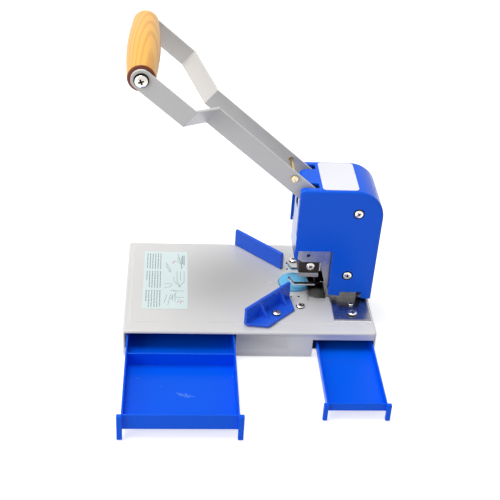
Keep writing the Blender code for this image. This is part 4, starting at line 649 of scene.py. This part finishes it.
INK_THICKNESS = 0.00008
WORD_WIDTH = 0.00085
WORD_LENGTHS = (0.0016, 0.0050)
WORD_GAP = 0.0009
COLUMNS = 6
COLUMN_STEP = 0.0029
FIRST_COLUMN = 0.075
RAGGED_SHARE = 0.14
PARAGRAPHS = ((0.03, 0.31), (0.35, 0.64), (0.68, 0.96))
BARS = (((0.92, 0.93), (0.92, 0.75)), ((0.885, 0.93), (0.885, 0.77)))
LINE_WIDTH = 0.0004
grey_ink = surface("grey_ink", (128, 142, 146), 0.5, mottle=(300, 0.2))
red_ink = surface("red_ink", (214, 96, 128), 0.5, mottle=(300, 0.2))
sticker_low, sticker_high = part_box("table_sticker")
sticker_size = sticker_high - sticker_low


def stroke(shape, start, end, width=LINE_WIDTH):
    """A line of ink between two points of the sticker."""
    first, last = (Vector((sticker_low.x + share_x * sticker_size.x, sticker_low.y + share_y * sticker_size.y,
                           sticker_high.z + INK_THICKNESS / 2)) for share_x, share_y in (start, end))
    thin_bar(shape, first, last, width, INK_THICKNESS)


random.seed(5)
words = bmesh.new()
for column in range(COLUMNS):
    across = FIRST_COLUMN + column * COLUMN_STEP / sticker_size.x
    for start, end in PARAGRAPHS:
        at = end
        last_place = start + (random.random() * RAGGED_SHARE if column == 0 else 0)
        while at > last_place:
            length = random.uniform(*WORD_LENGTHS) / sticker_size.y
            stroke(words, (across, at), (across, max(at - length, last_place)), WORD_WIDTH)
            at -= length + WORD_GAP / sticker_size.y
for start, end in BARS:
    stroke(words, start, end, WORD_WIDTH)
piece("sticker_words", words, "stand", grey_ink)

DRAWING = (
    ((0.50, 0.80), (0.62, 0.66)), ((0.62, 0.66), (0.60, 0.62)), ((0.50, 0.76), (0.60, 0.62)),
    ((0.78, 0.96), (0.80, 0.88)), ((0.76, 0.88), (0.84, 0.84)), ((0.80, 0.90), (0.88, 0.70)),
    ((0.76, 0.84), (0.86, 0.76)), ((0.86, 0.90), (0.86, 0.68)), ((0.76, 0.64), (0.76, 0.46)),
    ((0.84, 0.64), (0.84, 0.48)), ((0.92, 0.64), (0.92, 0.46)), ((0.76, 0.46), (0.84, 0.36)),
    ((0.92, 0.46), (0.80, 0.36)), ((0.68, 0.54), (0.70, 0.46)), ((0.70, 0.46), (0.82, 0.38)),
    ((0.48, 0.42), (0.62, 0.42)), ((0.48, 0.36), (0.58, 0.36)), ((0.58, 0.36), (0.66, 0.42)),
    ((0.60, 0.30), (0.92, 0.30)), ((0.66, 0.32), (0.76, 0.28)), ((0.62, 0.16), (0.74, 0.26)),
    ((0.56, 0.06), (0.62, 0.24)), ((0.66, 0.24), (0.66, 0.14)), ((0.72, 0.26), (0.72, 0.12)),
    ((0.72, 0.19), (0.92, 0.19)), ((0.76, 0.10), (0.82, 0.16)), ((0.48, 0.10), (0.54, 0.24)))
HOOKS = (((0.70, 0.80), 0.040), ((0.87, 0.11), 0.035))
HOOK_ANGLES = (0.4, 1.3, 2.2, 3.1, 4.0)
HOOK_FLATNESS = 0.7
HOOK_WIDTH = 0.0006
lines = bmesh.new()
for start, end in DRAWING:
    stroke(lines, start, end)
piece("sticker_lines", lines, "stand", grey_ink)
hooks = bmesh.new()
for place, size in HOOKS:
    bends = [(place[0] + size * math.cos(angle), place[1] + size * HOOK_FLATNESS * math.sin(angle))
             for angle in HOOK_ANGLES]
    for start, end in zip(bends, bends[1:]):
        stroke(hooks, start, end, HOOK_WIDTH)
piece("sticker_hooks", hooks, "stand", red_ink)

# Lever: two grey painted flat bars, bent outwards towards the grip, joined by a yellow zinc pin and by the
# shaft that drives the ram.
LEVER_EDGE = 0.0006
PIN_EDGE = 0.0003
PIN_HEAD_RADIUS = 0.00385
PIN_HEAD_HEIGHT = 0.0019
PIN_HEAD_PROUD = 0.0003
PIN_HEAD_TURN = math.radians(25)
# The lever's rounded edges carry a white painted highlight.
lever_paint = surface("lever_paint", (214, 213, 211), 0.34, mottle=(20, 0.05), gloss=(24, 0.08),
                      skin=(1200, 0.000015), marks=(("painted_highlight", (252, 252, 252)),))
yellow_zinc = surface("yellow_zinc", (214, 190, 130), 0.22, 1.0, mottle=(150, 0.3), gloss=(80, 0.1))
for node in ("lever_bar_near", "lever_bar_far"):
    eased_piece(node, "lever", lever_paint, LEVER_EDGE)
eased_piece("cross_pin", "lever", yellow_zinc, PIN_EDGE)
pin_low, pin_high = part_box("cross_pin")
pin_middle = middle_of("cross_pin")
for side, look, face_y in (("near", "-Y", pin_low.y + PIN_HEAD_HEIGHT - PIN_HEAD_PROUD),
                           ("far", "Y", pin_high.y - PIN_HEAD_HEIGHT + PIN_HEAD_PROUD)):
    head = pan_head(PIN_HEAD_RADIUS, PIN_HEAD_HEIGHT)
    head_place = Matrix.Translation((pin_middle.x, face_y, pin_middle.z))
    bmesh.ops.transform(head, verts=head.verts,
                        matrix=head_place @ FACING[look] @ Matrix.Rotation(PIN_HEAD_TURN, 4, "Z"))
    piece(f"cross_pin_head_{side}", head, "lever", plated_screw, smooth=HEAD_ANGLE)
eased_piece("press_shaft", "lever", plated_screw, PIN_EDGE)

# Grip: hardwood turned to a barrel under clear varnish, with its grain along the length and a darker rim at
# each end. It is screwed between the two lever bars.
grip_low, grip_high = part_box("grip")
grip_centre = middle_of("grip")
GRIP_MID_RADIUS = (grip_high.z - grip_low.z) / 2
GRIP_END_RADIUS = 0.0130
GRIP_EDGE = 0.0018
GRIP_BANDS = 40
RIM_PALEST = 0.0016
RIM_DARKEST = 0.0004
RIM_BROWN = (120, 52, 24)
GRAIN_DARK = (222, 156, 58)
GRAIN_LIGHT = (234, 176, 72)
GRAIN_STRETCH = 6
PITH_AWAY = Vector((0.02, 0, 0.035))
PITH_TILT = 0.12
half_grip = (grip_high.y - grip_low.y) / 2
straight = half_grip - GRIP_EDGE
barrel = []
for step in range(GRIP_BANDS + 1):
    share = step / GRIP_BANDS
    bulge = (GRIP_MID_RADIUS - GRIP_END_RADIUS) * math.sin(math.pi * share)
    barrel.append((GRIP_END_RADIUS + bulge, straight - 2 * straight * share))
rim = quarter(GRIP_END_RADIUS, half_grip, GRIP_EDGE)
profile = [(0, half_grip)] + rim[:-1] + barrel + [(r, -h) for r, h in rim[:-1][::-1]] + [(0, -half_grip)]


def wood_finish():
    """Varnished wood: growth rings round a pith beside the grip, drawn out along it, and the dark rims."""
    made = bpy.data.materials.new("varnished_wood")
    made.use_nodes = True
    tree = made.node_tree
    shader = tree.nodes["Principled BSDF"]
    shader.inputs["Coat Weight"].default_value = 0.35
    shader.inputs["Coat Roughness"].default_value = 0.15
    shader.inputs["Roughness"].default_value = 0.45
    shader.inputs["Specular IOR Level"].default_value = 0.25
    place = tree.nodes.new("ShaderNodeTexCoord").outputs["Object"]
    centred = tree.nodes.new("ShaderNodeMapping")
    centred.vector_type = "TEXTURE"
    centred.inputs["Location"].default_value = grip_centre + PITH_AWAY
    centred.inputs["Rotation"].default_value = (PITH_TILT, 0, 0)
    centred.inputs["Scale"].default_value = (1, GRAIN_STRETCH, 1)
    tree.links.new(place, centred.inputs["Vector"])
    rings = tree.nodes.new("ShaderNodeTexWave")
    rings.wave_type = "RINGS"
    rings.rings_direction = "Y"
    rings.inputs["Scale"].default_value = 75
    rings.inputs["Distortion"].default_value = 3.0
    rings.inputs["Detail"].default_value = 3
    rings.inputs["Detail Scale"].default_value = 0.6
    tree.links.new(centred.outputs[0], rings.inputs["Vector"])
    ramp = tree.nodes.new("ShaderNodeValToRGB")
    ramp.color_ramp.elements[0].color = (*linear(*GRAIN_DARK), 1)
    ramp.color_ramp.elements[1].color = (*linear(*GRAIN_LIGHT), 1)
    ramp.color_ramp.elements[1].position = 0.6
    tree.links.new(rings.outputs["Fac"], ramp.inputs["Fac"])
    parts = tree.nodes.new("ShaderNodeSeparateXYZ")
    tree.links.new(place, parts.inputs[0])
    from_middle = tree.nodes.new("ShaderNodeMath")
    from_middle.operation = "SUBTRACT"
    from_middle.inputs[1].default_value = grip_centre.y
    tree.links.new(parts.outputs["Y"], from_middle.inputs[0])
    distance = tree.nodes.new("ShaderNodeMath")
    distance.operation = "ABSOLUTE"
    tree.links.new(from_middle.outputs[0], distance.inputs[0])
    near_end = tree.nodes.new("ShaderNodeMapRange")
    near_end.inputs["From Min"].default_value = half_grip - RIM_PALEST
    near_end.inputs["From Max"].default_value = half_grip - RIM_DARKEST
    tree.links.new(distance.outputs[0], near_end.inputs["Value"])
    shown = mixed(tree, near_end.outputs[0], ramp.outputs["Color"], RIM_BROWN)
    tree.links.new(shown, shader.inputs["Base Color"])
    grain = placed_group(tree, SKIN, place, Scale=500, Depth=0.00002)
    tree.links.new(grain.outputs["Normal"], shader.inputs["Normal"])
    return made


piece("grip_turned", turned_shape(profile, grip_centre, "Y", steps=64), "lever", wood_finish(),
      ("grip",))

# Return spring: oiled spring wire, wound in two coils on the pivot pin. Its U shaped leg lies under the cross
# pin and lifts the lever.
SPRING_SMOOTH = math.radians(70)
spring_wire = surface("spring_wire", (180, 172, 158), 0.28, 1.0, mottle=(200, 0.2))
piece("spring_wound", node_copy("return_spring"), "lever", spring_wire, ("return_spring",),
      SPRING_SMOOTH)

# Studio: a white floor that keeps the shadow, soft light from above and from the front left, a pale sky for
# the gloss to mirror, and the camera at the photograph's angle.
FLOOR_HALF = 6.0
FLOOR_DROP = 0.0001
FLOOR_WHITE = 0.82
FLOOR_GLOW = 0.62
SKY_STRENGTH = 0.34
CAMERA_FROM_BASE = (0.04862, -0.82261, 0.67233)
CAMERA_YAW = math.radians(-5.194)
CAMERA_PITCH = math.radians(33.174)
CAMERA_ROLL = math.radians(3.787)
CAMERA_LENS = 73.86
SENSOR_WIDTH = 36


def seen_share(tree):
    """1 for a ray from the camera or off a glossy surface, and 0 for the light that falls on things."""
    rays = tree.nodes.new("ShaderNodeLightPath")
    seen = tree.nodes.new("ShaderNodeMath")
    seen.operation = "MAXIMUM"
    tree.links.new(rays.outputs["Is Camera Ray"], seen.inputs[0])
    tree.links.new(rays.outputs["Is Glossy Ray"], seen.inputs[1])
    return seen.outputs[0]


floor_shape = bmesh.new()
bmesh.ops.create_grid(floor_shape, x_segments=1, y_segments=1, size=FLOOR_HALF,
                      matrix=Matrix.Translation((0, 0, -FLOOR_DROP)))
floor = object_of("studio_floor", floor_shape)
floor_paint = bpy.data.materials.new("floor_white")
floor_paint.use_nodes = True
tree = floor_paint.node_tree
shader = tree.nodes["Principled BSDF"]
shader.inputs["Base Color"].default_value = (FLOOR_WHITE, FLOOR_WHITE, FLOOR_WHITE, 1)
shader.inputs["Roughness"].default_value = 0.9
shader.inputs["Specular IOR Level"].default_value = 0.0
shader.inputs["Emission Color"].default_value = (1, 1, 1, 1)
glow = tree.nodes.new("ShaderNodeMath")
glow.operation = "MULTIPLY"
glow.inputs[1].default_value = FLOOR_GLOW
tree.links.new(seen_share(tree), glow.inputs[0])
tree.links.new(glow.outputs[0], shader.inputs["Emission Strength"])
floor.data.materials.append(floor_paint)

world = bpy.data.worlds.new("studio_sky")
world.use_nodes = True
bpy.context.scene.world = world
sky = world.node_tree
background = sky.nodes["Background"]
background.inputs["Color"].default_value = (1, 1, 1, 1)
sky_level = sky.nodes.new("ShaderNodeMapRange")
sky_level.inputs["To Min"].default_value = SKY_STRENGTH
sky_level.inputs["To Max"].default_value = 1.0
sky.links.new(seen_share(sky), sky_level.inputs["Value"])
sky.links.new(sky_level.outputs[0], background.inputs["Strength"])


def soft_box(name, place, aim, size, power):
    """A square lamp at a place, turned to face another."""
    lamp = bpy.data.lights.new(name, "AREA")
    lamp.shape = "SQUARE"
    lamp.size = size
    lamp.energy = power
    made = bpy.data.objects.new(name, lamp)
    made.location = place
    made.rotation_euler = (Vector(aim) - Vector(place)).to_track_quat("-Z", "Y").to_euler()
    bpy.context.scene.collection.objects.link(made)


soft_box("soft_box_above", place=(-0.30, 0.20, 1.5), aim=(0, 0.05, 0.05), size=0.8, power=15)
soft_box("soft_box_left", place=(-1.3, -0.9, 0.8), aim=(0, 0, 0.15), size=1.0, power=9)

across = Vector((math.cos(CAMERA_YAW), math.sin(CAMERA_YAW), 0))
forward = Vector((-math.sin(CAMERA_YAW) * math.cos(CAMERA_PITCH),
                  math.cos(CAMERA_YAW) * math.cos(CAMERA_PITCH), -math.sin(CAMERA_PITCH)))
upward = across.cross(forward)
right = across * math.cos(CAMERA_ROLL) + upward * math.sin(CAMERA_ROLL)
top = upward * math.cos(CAMERA_ROLL) - across * math.sin(CAMERA_ROLL)
lens = bpy.data.cameras.new("photo_camera")
lens.lens = CAMERA_LENS
lens.sensor_width = SENSOR_WIDTH
camera = bpy.data.objects.new("photo_camera", lens)
camera.matrix_world = Matrix((right, top, -forward)).transposed().to_4x4()
camera.location = (base_low.x + CAMERA_FROM_BASE[0], base_low.y + CAMERA_FROM_BASE[1], CAMERA_FROM_BASE[2])
bpy.context.scene.collection.objects.link(camera)
bpy.context.scene.camera = camera
bpy.context.scene.view_settings.view_transform = "Standard"
